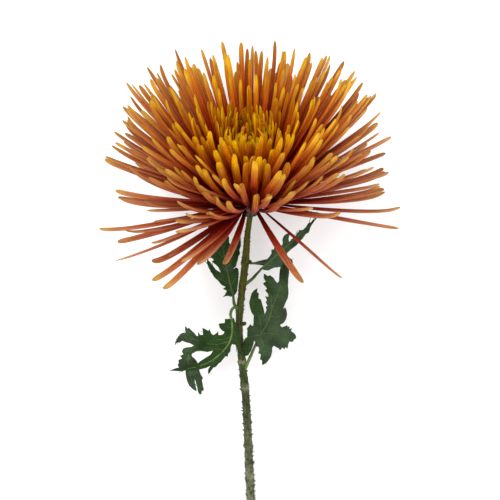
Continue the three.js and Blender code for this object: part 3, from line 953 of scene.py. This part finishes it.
hairs = {  # short stiff hairs, closer together further down
    "count": 1300,
    "place": (0.015, 0.93),
    "length": 1.15,
    "lengthVaries": (0.5, 0.9),
    "shorter": 0.4,  # higher up, over this stretch
    "shorterFrom": (0.42, 0.55),
    "aim": (0.2, 0.6),  # how far they lean up the stem
    "sunk": 0.96,
    "girth": (0.26, 0.3),
    "tipGirth": 0.06,
    "shade": (0.55, 0.4),
}


def addHair(bm, i, layers):
    share = vary(*hairs["place"], i, "hairPlace", 2)
    turn = 2 * math.pi * draw(i, "hairTurn")
    point, tangent = stemSpot(share)
    side = tangent.cross(Vector((0, 0, 1))).normalized()
    out = side * math.cos(turn) + side.cross(tangent) * math.sin(turn)
    size = hairs["length"] * vary(*hairs["lengthVaries"], i, "hairLength", 2)
    size *= mix(1, hairs["shorter"], ease(share, *hairs["shorterFrom"]))
    aim = (out + tangent * vary(*hairs["aim"], i, "hairAim")).normalized()
    place = Matrix.Translation(point + out * (stemRadius(share) * hairs["sunk"]) + aim * (size / 2))
    place = place @ aim.to_track_quat("Z", "Y").to_matrix().to_4x4()
    girth = vary(*hairs["girth"], i, "hairGirth", 2)
    hair = bmesh.ops.create_cone(bm, segments=4, radius1=girth, radius2=hairs["tipGirth"], depth=size,
                                 matrix=place, cap_ends=True)
    for vert in hair["verts"]:
        vert.co.z = max(vert.co.z, plant["tableGap"])
        vert[layers["along"]] = share
        vert[layers["dark"]] = vary(*hairs["shade"], i, "hairShade")


def buildStem():
    bm = bmesh.new()
    layers = floatLayers(bm, "angle", "along", "across", "facing", "dark", "scar")
    count = stem["rings"]
    stackedTube(bm, [i / count for i in range(count + 1)], stem["sides"], layers)
    alongWave, roundWave, slowWave = stem["lumpWaves"]

    def radiusAt(along, angle):
        rib = 1 + stem["ribDepth"] * math.cos(stem["ribs"] * angle + stem["ribTwist"] * along)
        wave = math.sin(along * alongWave + roundWave * angle)
        lump = 1 + stem["lumpDepth"] * wave * math.sin(along * slowWave)
        return (stemRadius(along) * rib * lump,) * 2

    bendAlong(bm.verts, stemLine, Vector((1, 0, 0)), radiusAt, layers)
    for vert in bm.verts:
        vert.co.z = max(vert.co.z, plant["tableGap"])
        along = vert[layers["along"]]
        vert[layers["scar"]] = sum(math.exp(-(((along - n) * stemSpan / stem["scarReach"]) ** 2))
                                   for n in stem["nodes"][:stem["scars"]])
    for i in range(hairs["count"]):
        addHair(bm, i, layers)
    finishPiece(bm, "stemTube", [stemSkin()], "stem")


buildStem()


# Stub of a cut side shoot and two buds in the leaf joints.
pegs = {
    # share of the stem, direction, length, radius, dark at the root and at the tip
    "each": [(0.592, (-1, 0.25, 0.1), 5.2, 1.5, (0, 0.8)),
             (0.648, (0.9, 0.3, 0.5), 4.2, 1.1, (0.25, 0.25)),
             (0.84, (0.9, 0.25, 0.35), 3.6, 1.0, (0.25, 0.25))],
    "stations": [0, 0.3, 0.6, 0.85, 0.97, 1],
    "girths": [1.15, 1, 1, 1.05, 0.7, 0.3],
    "sides": 10,
    "darkFrom": (0.75, 1),
}


def pegGirth(along):
    nearest = min(range(len(pegs["stations"])), key=lambda i: abs(pegs["stations"][i] - along))
    return pegs["girths"][nearest]


def buildPegs():
    bm = bmesh.new()
    layers = floatLayers(bm, "angle", "along", "dark")
    for share, direction, long, radius, darks in pegs["each"]:
        verts = stackedTube(bm, pegs["stations"], pegs["sides"], layers)
        root = stemSpot(share)[0]
        heading = Vector(direction).normalized()
        points = [root + heading * (long * i / 5) for i in range(6)]
        bendAlong(verts, points, Vector((0, 0, 1)),
                  lambda along, angle: (radius * pegGirth(along),) * 2, layers)
        for vert in verts:
            vert[layers["dark"]] = mix(*darks, ease(vert[layers["along"]], *pegs["darkFrom"]))
            vert[layers["along"]] = share
    finishPiece(bm, "stemPegs", [bpy.data.materials["stemSkin"]], "stem", subdivide=1)


buildPegs()
print("stem done")


# Leaves. rim is the toothed edge seen from above, round from the stalk by the leaf's left side.
# Each vein runs in three dimensions from the one it leaves, and the blade follows the veins.
leaves = {
    "leaf_lower_right": {
        "petiole": [(-3, -84, 20.5), (0.2, -76.5, 24.6), (3.2, -69.4, 28.2), (5.2, -65, 29.6)],
        "veins": [
            [(5.2, -65, 29.6), (9, -58.5, 32.4), (12, -49, 33.8), (15.2, -41, 34), (17.5, -30, 30.2)],
            [(5.2, -65, 29.6), (10, -64, 31.2), (16, -65.4, 30.6), (22.5, -66, 27.8)],
            [(5.2, -65, 29.6), (6.8, -70, 28.8), (8.2, -75, 27.2), (7.2, -79.5, 25.2)],
            [(5.2, -65, 29.6), (2, -65.6, 29.2), (-1.2, -66.5, 29), (-2.4, -71, 28.6), (-2.2, -75, 28)],
            [(5.2, -65, 29.6), (5.5, -59.8, 31.4), (3.6, -52, 33.6), (2.9, -43, 35)],
            [(11, -52, 33.6), (10.8, -45, 34.6), (9.2, -36, 36.4)],
            [(10.4, -55.5, 33.2), (15, -55.5, 33.2), (18, -53.2, 32)],
        ],
        "rim": [
            (3, -69.5), (2.2, -68), (1.6, -70.4), (0.5, -73.4), (-1, -75.6), (-2.8, -76.2), (-3.4, -74),
            (-2.9, -70.6), (-3.2, -68), (-1.4, -66), (-1.5, -64.8), (-1.3, -62.6), (-1.6, -61.9),
            (-0.6, -60.5), (0.3, -59.5), (0.9, -60.5), (1.7, -60.2), (1.8, -57), (1.9, -55), (0.6, -53),
            (-0.1, -50.6), (-0.4, -48.2), (0.3, -45.4), (0.8, -43.6), (2, -42.2), (3.8, -40.9),
            (3.6, -43.1), (4.5, -43.6), (4.3, -46.2), (5.5, -46.7), (6.3, -49.4), (7, -51.6),
            (7.5, -54.4), (8.4, -52.2), (8.1, -50.6), (8.9, -50), (8, -48.2), (8.6, -47.2),
            (7.8, -45.1), (9.6, -45.4), (9.3, -44), (7.7, -42.1), (8.7, -41.2), (6.6, -38.6),
            (8, -37.6), (6.9, -35.6), (7.1, -33.5), (9.2, -34.8), (10.2, -34.3), (12, -35.8),
            (13.2, -37.6), (14, -38.4), (14.9, -37.4), (15.1, -33.5), (15.4, -31), (16.6, -28.6),
            (18.6, -27.6), (19.7, -30), (20.1, -33), (19.6, -36), (19.4, -40), (19.7, -43),
            (19.2, -46.3), (18, -48.8), (16.8, -51.8), (18.1, -50.8), (18.7, -52.2), (19, -54.5),
            (18.4, -57), (17, -58.8), (15.3, -59.9), (16.3, -61.1), (18, -60.5), (18.9, -60),
            (19.4, -61), (20.2, -60.6), (20.2, -62.2), (21.5, -61.5), (21, -63), (22.5, -64.2),
            (23.5, -65.3), (23.8, -66.8), (22.8, -67.4), (21.8, -68.7), (20.2, -68.4), (19.6, -70),
            (19.3, -72), (18.1, -71.3), (17.6, -72.4), (16.6, -71.5), (15.5, -72.9), (14.6, -71.8),
            (13.4, -71.4), (12.3, -70.5), (11.4, -71.6), (11.4, -73.8), (10.6, -76.6), (9, -79),
            (7.6, -80.2), (6.3, -80.8), (6.2, -78.3), (5.2, -77.8), (5.6, -75.2), (4.2, -74.4),
            (4.7, -73), (4.4, -71.2), (3.3, -71),
        ],
        "under": [((13, -66), 16), ((15.5, -51), 10), ((17.5, -37), 9)],  # underside shows: centre, reach
        "pale": {"stalk": 0.8},  # where it isn't what the blade says
    },
    "leaf_lower_left": {
        "petiole": [(-6.4, -50.4, 30.8), (-8.8, -51.4, 32.8), (-9.9, -54, 33.6), (-9.2, -58, 33.6)],
        "veins": [
            [(-9.2, -58, 33.6), (-9.1, -63, 33), (-10.2, -68, 31.8), (-13.4, -72.8, 30.4),
             (-18, -77, 29), (-24, -80.4, 27.6), (-31, -82.4, 25.4), (-41, -83.8, 21)],
            [(-9.1, -61.5, 33.2), (-12, -60.6, 32.6), (-15, -60, 31.2)],
            [(-9.4, -65.5, 32.4), (-15, -67.4, 32.2), (-21, -65.5, 31.8), (-23.8, -62.4, 31)],
            [(-10.4, -68.2, 31.8), (-18, -69.8, 31.6), (-26, -68, 30.8), (-31, -64.5, 29.2),
             (-33, -61.4, 28.2)],
            [(-26, -68, 30.8), (-32, -66.8, 28.6), (-36, -67, 25.4), (-38.4, -70, 20.6)],
            [(-13.4, -72.8, 30.4), (-19, -71.8, 30.4), (-25, -71.6, 29.6), (-29, -72.9, 28.8),
             (-31.5, -74, 28)],
            [(-18, -77, 29), (-19.6, -80.4, 27), (-21.2, -84.6, 24)],
            [(-9.1, -60, 33.4), (-7.2, -66, 31.8), (-6.2, -71, 30.4), (-4.2, -75.2, 28.8)],
        ],
        "rim": [
            (-8.3, -56.2), (-7.7, -58), (-6, -62), (-5.5, -68), (-4.6, -72.4), (-3.4, -75.9),
            (-5.6, -74.2), (-7.1, -71.4), (-7.9, -68.4), (-8.8, -69.2), (-9.8, -71), (-10.1, -73.6),
            (-11.2, -74.7), (-11.5, -76.1), (-12.5, -75.9), (-13.8, -77.4), (-14.8, -78.9),
            (-16.2, -79.9), (-17.4, -81.4), (-18.8, -82), (-20.2, -83.8), (-21.4, -85.7), (-21.7, -84),
            (-21, -82.2), (-20.2, -80.9), (-23, -82.2), (-26.4, -83.1), (-30, -83.5), (-33.6, -83.6),
            (-36, -84.1), (-42, -84), (-38, -82.4), (-34, -81.4), (-30, -80.4), (-27, -79.9),
            (-25.6, -78.7), (-22.8, -76.9), (-20.2, -75.2), (-18.9, -73.1), (-21.8, -73.8),
            (-24, -73.5), (-26.4, -73.2), (-28.3, -73.9), (-30, -75), (-32.4, -75), (-34, -73.4),
            (-33.6, -71.8), (-32, -71.4), (-29.8, -71.2), (-28.7, -70.5), (-30.6, -69.5), (-33, -68.9),
            (-35, -68.2), (-36.2, -69.3), (-37.5, -69.1), (-38.9, -70.9), (-38.6, -69), (-37.4, -66.6),
            (-36, -64.8), (-34.5, -64), (-32.8, -64.1), (-33.4, -62.6), (-33.3, -60.2), (-32, -62),
            (-31.4, -61.4), (-30.2, -62.6), (-28.8, -63.8), (-27.6, -65.4), (-26.6, -65.6),
            (-26.6, -63.3), (-25.6, -64.9), (-24.2, -65), (-24.1, -63.4), (-24.5, -61.3),
            (-22.6, -62.2), (-21.4, -62.9), (-20.8, -62), (-19.8, -64.2), (-18.8, -65.1),
            (-17.4, -64.2), (-16.2, -63), (-16.2, -64.9), (-15, -65.1), (-13.5, -64.4), (-13.1, -63.3),
            (-14.3, -62.7), (-15.4, -61.5), (-16.1, -59.5), (-15.3, -59.1), (-12.9, -58.8),
            (-12.7, -56.8), (-10.2, -56.7),
        ],
        "under": [((-33, -68), 8), ((-36, -68), 6)],
        "pale": {"stalk": 0.75, "midrib": 0.7},
        "lobes": [{  # the last lobe, folded down under the leaf's tip
            "veins": [
                [(-31, -73, 28.2), (-31.8, -77, 26), (-31.4, -83, 20), (-30.6, -89, 14.4),
                 (-28.4, -94.4, 10.6)],
                [(-31.5, -76, 26.6), (-29, -82, 19.8), (-27, -89, 14), (-26, -96.4, 9.2)],
                [(-31.6, -76.5, 26.3), (-34, -78.6, 23.6), (-36.6, -81, 20.4)],
            ],
            "rim": [
                (-29.4, -72.6), (-32, -71.9), (-34.2, -72), (-35.1, -73.6), (-34.3, -75.2), (-36, -76),
                (-34.9, -77.4), (-37, -78.4), (-36.8, -79.8), (-37.5, -81), (-36.8, -82.4),
                (-35.4, -82), (-34, -81.8), (-33.3, -83.4), (-33.4, -86), (-32.8, -89.5),
                (-31.6, -92.4), (-30, -94.2), (-28, -95.6), (-27.9, -94.4), (-28.6, -92),
                (-28.8, -88.4), (-28, -91), (-27.4, -95), (-26.9, -96.4), (-26.2, -97.3),
                (-25.4, -96.8), (-25.2, -95.2), (-24.1, -94.7), (-24.7, -92), (-25, -89.2),
                (-24.5, -88.2), (-25.6, -86.4), (-26.4, -83.4), (-26.8, -80.8), (-27.4, -79),
                (-28.6, -77.4), (-29.8, -76.4), (-30, -74.6),
            ],
            "under": [((-31, -84), 30)],
        }],
    },
    "leaf_upper_left": {
        "petiole": [(-5.6, -51.4, 31), (-7.8, -49.6, 33), (-8.6, -44.6, 35.2)],
        "veins": [
            [(-8.6, -44.6, 35.2), (-9.8, -40, 36.2), (-11, -34.5, 37.2), (-12.6, -27, 38),
             (-13.8, -20, 38), (-16, -11, 36.6), (-19, -3.2, 34.6)],
            [(-9.4, -42, 35.8), (-11.2, -42.6, 36.4), (-12.6, -44.4, 37.4)],
            [(-10, -39, 36.4), (-14.6, -36.6, 36.2), (-19.4, -31.4, 34.4), (-21.7, -26.6, 33.4)],
            [(-11.4, -32.4, 37.4), (-15, -29, 36.8), (-18.4, -26.4, 35), (-21, -23.9, 34)],
            [(-12.8, -26, 38), (-17, -22.6, 36.6), (-20.4, -20.8, 34.8), (-23.4, -20.3, 33)],
            [(-14.4, -17.6, 37.8), (-17.6, -13.6, 36.2), (-21, -8.8, 33)],
            [(-9.8, -40, 36.2), (-8, -36.4, 38), (-7, -32.8, 39)],
            [(-12, -30.4, 37.8), (-9, -26.4, 38.2), (-6.8, -21, 36), (-5.4, -16.4, 34.2)],
            [(-13.6, -21, 38), (-12.4, -17, 37.4), (-11.6, -14, 36.4)],
        ],
        "rim": [
            (-8.8, -45), (-9.8, -45.3), (-11, -44.8), (-12.4, -45), (-14, -45.6), (-12.2, -43.6),
            (-11.9, -42.2), (-13.8, -41.3), (-12.4, -40.3), (-14.6, -39.2), (-16.2, -37.2),
            (-18.2, -35.4), (-19.8, -32.8), (-21.2, -30.4), (-22, -28), (-21.9, -25.2), (-21.1, -27),
            (-20.2, -27.8), (-19.2, -29.4), (-17.4, -31.6), (-14.9, -33), (-16, -30.4), (-17.5, -28.9),
            (-19.6, -27.5), (-18.2, -26.5), (-18.6, -25.8), (-21.7, -23.6), (-19.8, -22.8),
            (-21, -21.6), (-24.2, -20.3), (-21.6, -18.6), (-19.2, -17), (-19.6, -14), (-21.4, -10),
            (-21.7, -7.8), (-19.4, -8.4), (-19.8, -5), (-19.4, -2.2), (-17.4, -3.6), (-16, -7),
            (-14, -10.4), (-11.6, -13), (-10.6, -15), (-10.6, -17.6), (-9.8, -19.4), (-8, -18),
            (-6.2, -15.6), (-4.8, -14.9), (-4.6, -18), (-4.9, -20), (-5.4, -21.4), (-5, -23.2),
            (-5.9, -24.8), (-6.1, -26.4), (-6.7, -28), (-7.1, -29.8), (-8.7, -31.2), (-7, -30.4),
            (-5.9, -31), (-5.7, -33.5), (-5.9, -37), (-6.2, -40), (-6.7, -42.8), (-7.5, -44.2),
        ],
        "under": [((-11, -31), 3)],
    },
    "leaf_upper_right": {
        "petiole": [(-2.4, -39, 35), (1, -36.3, 38), (3.6, -33.4, 41), (6, -30.8, 42.8)],
        "veins": [
            [(6, -30.8, 42.8), (9.4, -27.6, 44), (13.6, -23.6, 45.4), (18.6, -19.4, 46),
             (24, -14.6, 45.6), (29.4, -9.8, 44.6), (33.7, -3.4, 43.2)],
            [(9.4, -27.6, 44), (10.6, -24.6, 45.6), (11.4, -22.2, 46.6)],
            [(13.6, -23.6, 45.4), (16.4, -20, 47), (18, -16.6, 48.6), (19, -14, 49.6)],
            [(18.6, -19.4, 46), (22, -15.8, 46.8), (24.4, -12.4, 47.8)],
            [(8.4, -28.8, 43.4), (11, -29.6, 42.8), (15, -29.6, 42)],
            [(13.6, -23.6, 45.4), (16.4, -25.6, 43.8), (17, -28, 42.6)],
        ],
        "rim": [
            (5.6, -31), (6.6, -30), (7.6, -28.6), (8.6, -27), (8.8, -26), (9.9, -24.8), (11, -23.1),
            (10.7, -21.4), (12, -21.2), (12.4, -19.3), (14.4, -19), (16, -19.4), (16.5, -18.2),
            (16.3, -16), (17.2, -14.1), (19, -13.2), (20, -13.5), (19.3, -16), (19.8, -17.5),
            (21.2, -16), (22.4, -14.8), (24.4, -12.9), (24.7, -11.4), (26.6, -11.5), (28.2, -10),
            (29.4, -8), (31, -7.4), (32.6, -5.9), (33.5, -4.2), (33.9, -1.8), (34.6, -3.6), (34.1, -5),
            (32.8, -6.6), (31.4, -8.5), (30.5, -10.2), (29.7, -12.6), (28, -13.6), (26.8, -15.4),
            (25, -17.4), (23.4, -19.2), (21, -21), (19, -22.8), (17.4, -25.4), (16.8, -28),
            (15.8, -30.3), (14.4, -30), (12.8, -30.2), (11, -31), (9.2, -31.9), (7, -31.6),
        ],
        "under": [((12, -27), 12), ((24, -14), 14)],
    },
    "leaf_small_right": {
        "petiole": [(-2, -27.6, 38.8), (1, -28.3, 39)],
        "veins": [
            [(1, -28.3, 39), (6, -28, 39.6), (12, -27.8, 39), (17, -27, 37.6), (21.6, -27.6, 35.6)],
            [(9, -28, 39.4), (13, -26.4, 38.8), (17, -25.2, 37.6)],
            [(7, -28, 39.5), (11, -29.2, 38.6), (14.6, -29.8, 37.4)],
        ],
        "rim": [
            (1, -28.1), (4, -27.2), (7, -26.5), (9.4, -26), (10.4, -25), (12, -25.6), (15, -24.8),
            (16, -25.4), (18, -24.4), (20.4, -25.6), (21.6, -26.8), (21.9, -28.2), (20.2, -27.6),
            (17.4, -29.2), (16.4, -28.8), (14, -30.4), (12.6, -29.6), (10, -30.2), (6.4, -29.3),
            (3, -28.9), (1, -28.6),
        ],
        "under": [((8, -28), 9)],
    },
}
blade = {
    "cell": 1.0,  # spacing of the cuts that mesh a blade
    "cutStart": 0.37,
    "thickness": 0.4,
    "softness": 4.0,  # mm squared, how gently the blade bends between its veins
    "quilting": 0.6,  # how far the blade swells between its veins
    "quiltReach": 2.2,
    "ripple": 0.3,
    "toothDip": 0.5,  # how far the edge rises and falls
    "edgeFrom": (2.5, 5),  # distances from the nearest vein
    "underFade": 0.6,  # share of its reach where a turned up patch starts to fade
    # radius at the root, radius at the tip, and how pale
    "stalk": (1.0, 0.62, 0.35),
    "midrib": (0.62, 0.16, 0.3),
    "vein": (0.36, 0.12, 0.26),
    "fork": (0.216, 0.1, 0.14),
    "tipPale": 0.5,
    "sides": 6,
    "stalkPoints": 16,
    "veinPoints": 18,
    "forkPoints": 5,
    "forks": [(0.3, 38), (0.42, -38), (0.55, 34), (0.66, -34), (0.8, 30)],  # share of a vein, degrees
    "forkReach": 4.2,
    "forkShare": 0.2,  # of the vein's length, where that is less
    "forkVaries": (0.8, 0.4),
    "upper": paint(26, 50, 13),
    "lower": paint(46, 62, 40),
    "net": paint(78, 96, 56),
    "netShare": 0.16,
    "netScale": 640.0,
    "netWidth": 0.22,
    "netRelief": 0.6,
    "rib": paint(110, 128, 74),
    "tissue": (150.0, 1500.0, 2.2),
    "relief": 0.00025,
    "reliefStrength": 0.8,
    "roughness": (0.44, 0.66),  # of the upper side and of the underside
    "shine": 0.08,
}


def bladeHeight(leaf, x, y):  # near each point of the veins, that point's height
    total = weights = 0
    for point in leaf["spots"]:
        weight = ((point.x - x) ** 2 + (point.y - y) ** 2 + blade["softness"]) ** -1.5
        total += weight * point.z
        weights += weight
    return total / weights


def veinDistance(lines, x, y):  # distance from the nearest vein, seen from above
    best = math.inf
    for line in lines:
        for a, b in zip(line, line[1:]):
            runX, runY = b.x - a.x, b.y - a.y
            share = ((x - a.x) * runX + (y - a.y) * runY) / max(tiny, runX * runX + runY * runY)
            share = min(1, max(0, share))
            best = min(best, math.hypot(a.x + runX * share - x, a.y + runY * share - y))
    return best


def surfaceHeight(leaf, x, y):
    near = veinDistance(leaf["lines"], x, y)
    swell = blade["quilting"] * (1 - math.exp(-(near / blade["quiltReach"]) ** 2))
    ripple = blade["ripple"] * math.sin(x * 0.55 + 1.3 * math.sin(y * 0.31)) * math.sin(y * 0.47 + 0.8)
    edge = blade["toothDip"] * ease(near, *blade["edgeFrom"]) * math.sin(x * 1.4 + y * 1.1)
    return bladeHeight(leaf, x, y) + swell + ripple + edge


def veinForks(line, n):
    last = len(line) - 1
    forks = []
    for i, (share, turn) in enumerate(blade["forks"]):
        at = round(share * last)
        heading = (line[min(last, at + 2)] - line[at]).normalized()
        bent = Matrix.Rotation(math.radians(turn), 3, "Z") @ heading
        reach = min(blade["forkReach"], blade["forkShare"] * lineLength(line))
        reach *= vary(*blade["forkVaries"], n * 7 + i, "fork")
        turnedOff = line[at] + bent * (reach * 0.5)
        end = line[at] + bent * (reach * 0.85) + heading * (reach * 0.25)
        forks.append(evenCurve([line[at], turnedOff, end], blade["forkPoints"]))
    return forks


def readyLeaf(leaf):  # the veins as even lines, with forks towards the teeth
    made = dict(leaf)
    veins = [[Vector(p) for p in vein] for vein in leaf["veins"]]
    made["spots"] = [p for vein in veins for p in vein]
    made["lines"] = [evenCurve(vein, blade["veinPoints"]) for vein in veins]
    made["forks"] = [fork for n, line in enumerate(made["lines"]) for fork in veinForks(line, n)]
    return made


def leafSkin(name, first, second, roughness):  # the second colour is where the leaf turns over
    material, tree, surface = newMaterial(name, roughness, blade["shine"])
    turned, rib = attributes(tree, -7, "turned", "rib")
    place = node(tree, "ShaderNodeTexCoord", (-7, 2)).outputs["Object"]
    shade, height = placeTissue(tree, place, blade["tissue"], (-6, 2))
    cells = node(tree, "ShaderNodeTexVoronoi", (-6, 4), feature="DISTANCE_TO_EDGE")
    feed(tree, cells.inputs["Vector"], place)
    cells.inputs["Scale"].default_value = blade["netScale"]
    net = remap(tree, cells.outputs["Distance"], (0.0, blade["netWidth"]), (-5, 4), (1.0, 0.0))
    skin = blend(tree, turned, first, second, (-4, 0))
    netted = blend(tree, times(tree, net, blade["netShare"], (-4, 4)), skin, blade["net"], (-3, 0))
    coat(tree, surface, blend(tree, rib, netted, blade["rib"], (-2, 0)), shade, (-1, 0))
    relief = calc(tree, "ADD", height, times(tree, net, blade["netRelief"], (-4, 5)), (-3, 5))
    addBump(tree, surface, relief, blade["relief"], (-1, 4), blade["reliefStrength"])
    return material


leafUpper = leafSkin("leafUpper", blade["upper"], blade["lower"], blade["roughness"][0])
leafUnder = leafSkin("leafUnder", blade["lower"], blade["upper"], blade["roughness"][1])


def turnedUp(leaf, x, y):
    most = 0
    for centre, reach in leaf["under"]:
        away = math.hypot(x - centre[0], y - centre[1])
        most = max(most, 1 - ease(away, blade["underFade"] * reach, reach))
    return most


def addBlade(bm, leaf, turnedLayer):
    before = set(bm.verts)
    bm.faces.new([bm.verts.new((x, y, 0)) for x, y in leaf["rim"]])
    for axis, normal in enumerate(((1, 0, 0), (0, 1, 0))):
        ends = [p[axis] for p in leaf["rim"]]
        at = min(ends) + blade["cutStart"] * blade["cell"]
        while at < max(ends):
            own = [v for v in bm.verts if v not in before]
            edges = inOrder(e for v in own for e in v.link_edges)
            faces = inOrder(f for v in own for f in v.link_faces)
            spot = (at, 0, 0) if axis == 0 else (0, at, 0)
            bmesh.ops.bisect_plane(bm, geom=own + edges + faces, dist=0.0001,
                                   plane_co=spot, plane_no=normal)
            at += blade["cell"]
    for vert in [v for v in bm.verts if v not in before]:
        vert[turnedLayer] = turnedUp(leaf, vert.co.x, vert.co.y)
        vert.co.z = surfaceHeight(leaf, vert.co.x, vert.co.y)


def buildBlade(name, parts):
    bm = bmesh.new()
    turned = bm.verts.layers.float.new("turned")
    for part in parts:
        addBlade(bm, part, turned)
    bmesh.ops.triangulate(bm, faces=[f for f in bm.faces if len(f.verts) > 4])
    bm.normal_update()
    bmesh.ops.reverse_faces(bm, faces=[f for f in bm.faces if f.normal.z < 0])
    finishPiece(bm, name + "_blade", [leafUpper, leafUnder], name, thickness=blade["thickness"])


def buildVeins(name, parts):
    bm = bmesh.new()
    layers = floatLayers(bm, "angle", "along", "turned", "rib")
    stalk = evenCurve([Vector(p) for p in parts[0]["petiole"]], blade["stalkPoints"])
    tubes = [(parts[0], "stalk", stalk)]
    for part in parts:
        kinds = ["midrib"] + ["vein"] * (len(part["lines"]) - 1) + ["fork"] * len(part["forks"])
        for kind, line in zip(kinds, part["lines"] + part["forks"]):
            tubes.append((part, kind, [Vector((p.x, p.y, surfaceHeight(part, p.x, p.y))) for p in line]))
    for part, kind, points in tubes:
        wide, end, pale = blade[kind]
        pale = part.get("pale", {}).get(kind, pale)
        count = len(points) - 1
        own = stackedTube(bm, [i / count for i in range(count + 1)], blade["sides"], layers)
        bendAlong(own, points, Vector((0.3, 0.2, 1)),
                  lambda along, angle: (mix(wide, end, along),) * 2, layers)
        for vert in own:
            vert[layers["turned"]] = turnedUp(part, vert.co.x, vert.co.y)
            vert[layers["rib"]] = pale * mix(1, blade["tipPale"], vert[layers["along"]])
    finishPiece(bm, name + "_veins", [leafUpper], name)


for name, leaf in leaves.items():
    parts = [readyLeaf(part) for part in [leaf] + leaf.get("lobes", [])]
    buildBlade(name, parts)
    buildVeins(name, parts)
print("leaves done")


# Table, light and camera.
studio = {
    "tableSize": 20.0,
    "tableColour": (1.0, 1.0, 1.0, 1),
    "worldStrength": 0.97,
    "cameraHeight": 1.0,
    "aimY": -21.5,  # plant mm
    "viewHalf": 0.125,  # metres from the middle to the edge at the height below
    "viewHeight": 0.054,
    # place, size, power, of each soft lamp
    "lamps": [((-0.45, 0.6, 1.45), 1.3, 18.0), ((0.7, -0.5, 1.3), 1.4, 8.0)],
}
tableMesh = bpy.data.meshes.new("table")
bm = bmesh.new()
bmesh.ops.create_grid(bm, x_segments=1, y_segments=1, size=studio["tableSize"] / 2)
bm.to_mesh(tableMesh)
bm.free()
table = bpy.data.objects.new("table", tableMesh)
bpy.context.scene.collection.objects.link(table)
tableMaterial, _, tableSurface = newMaterial("tablePaint", 0.9)
tableSurface.inputs["Base Color"].default_value = studio["tableColour"]
tableMesh.materials.append(tableMaterial)

world = bpy.data.worlds.new("studio")
bpy.context.scene.world = world
world.use_nodes = True
world.node_tree.nodes["Background"].inputs["Color"].default_value = (1, 1, 1, 1)
world.node_tree.nodes["Background"].inputs["Strength"].default_value = studio["worldStrength"]
bpy.context.scene.view_settings.view_transform = "Standard"

aim = plantToRow @ Vector((0, studio["aimY"], plant["headHeight"]))
for i, (spot, size, power) in enumerate(studio["lamps"]):
    lamp = bpy.data.lights.new(f"lamp{i}", "AREA")
    lamp.shape = "DISK"
    lamp.size = size
    lamp.energy = power
    holder = bpy.data.objects.new(f"lamp{i}", lamp)
    holder.location = spot
    holder.rotation_euler = (aim - Vector(spot)).to_track_quat("-Z", "Y").to_euler()
    bpy.context.scene.collection.objects.link(holder)

lens = bpy.data.cameras.new("camera")
lens.sensor_fit = "HORIZONTAL"
lens.angle = 2 * math.atan(studio["viewHalf"] / (studio["cameraHeight"] - studio["viewHeight"]))
lens.clip_start = 0.01
camera = bpy.data.objects.new("camera", lens)
camera.location = (aim.x, aim.y, studio["cameraHeight"])
bpy.context.scene.collection.objects.link(camera)
bpy.context.scene.camera = camera
print("stage done")
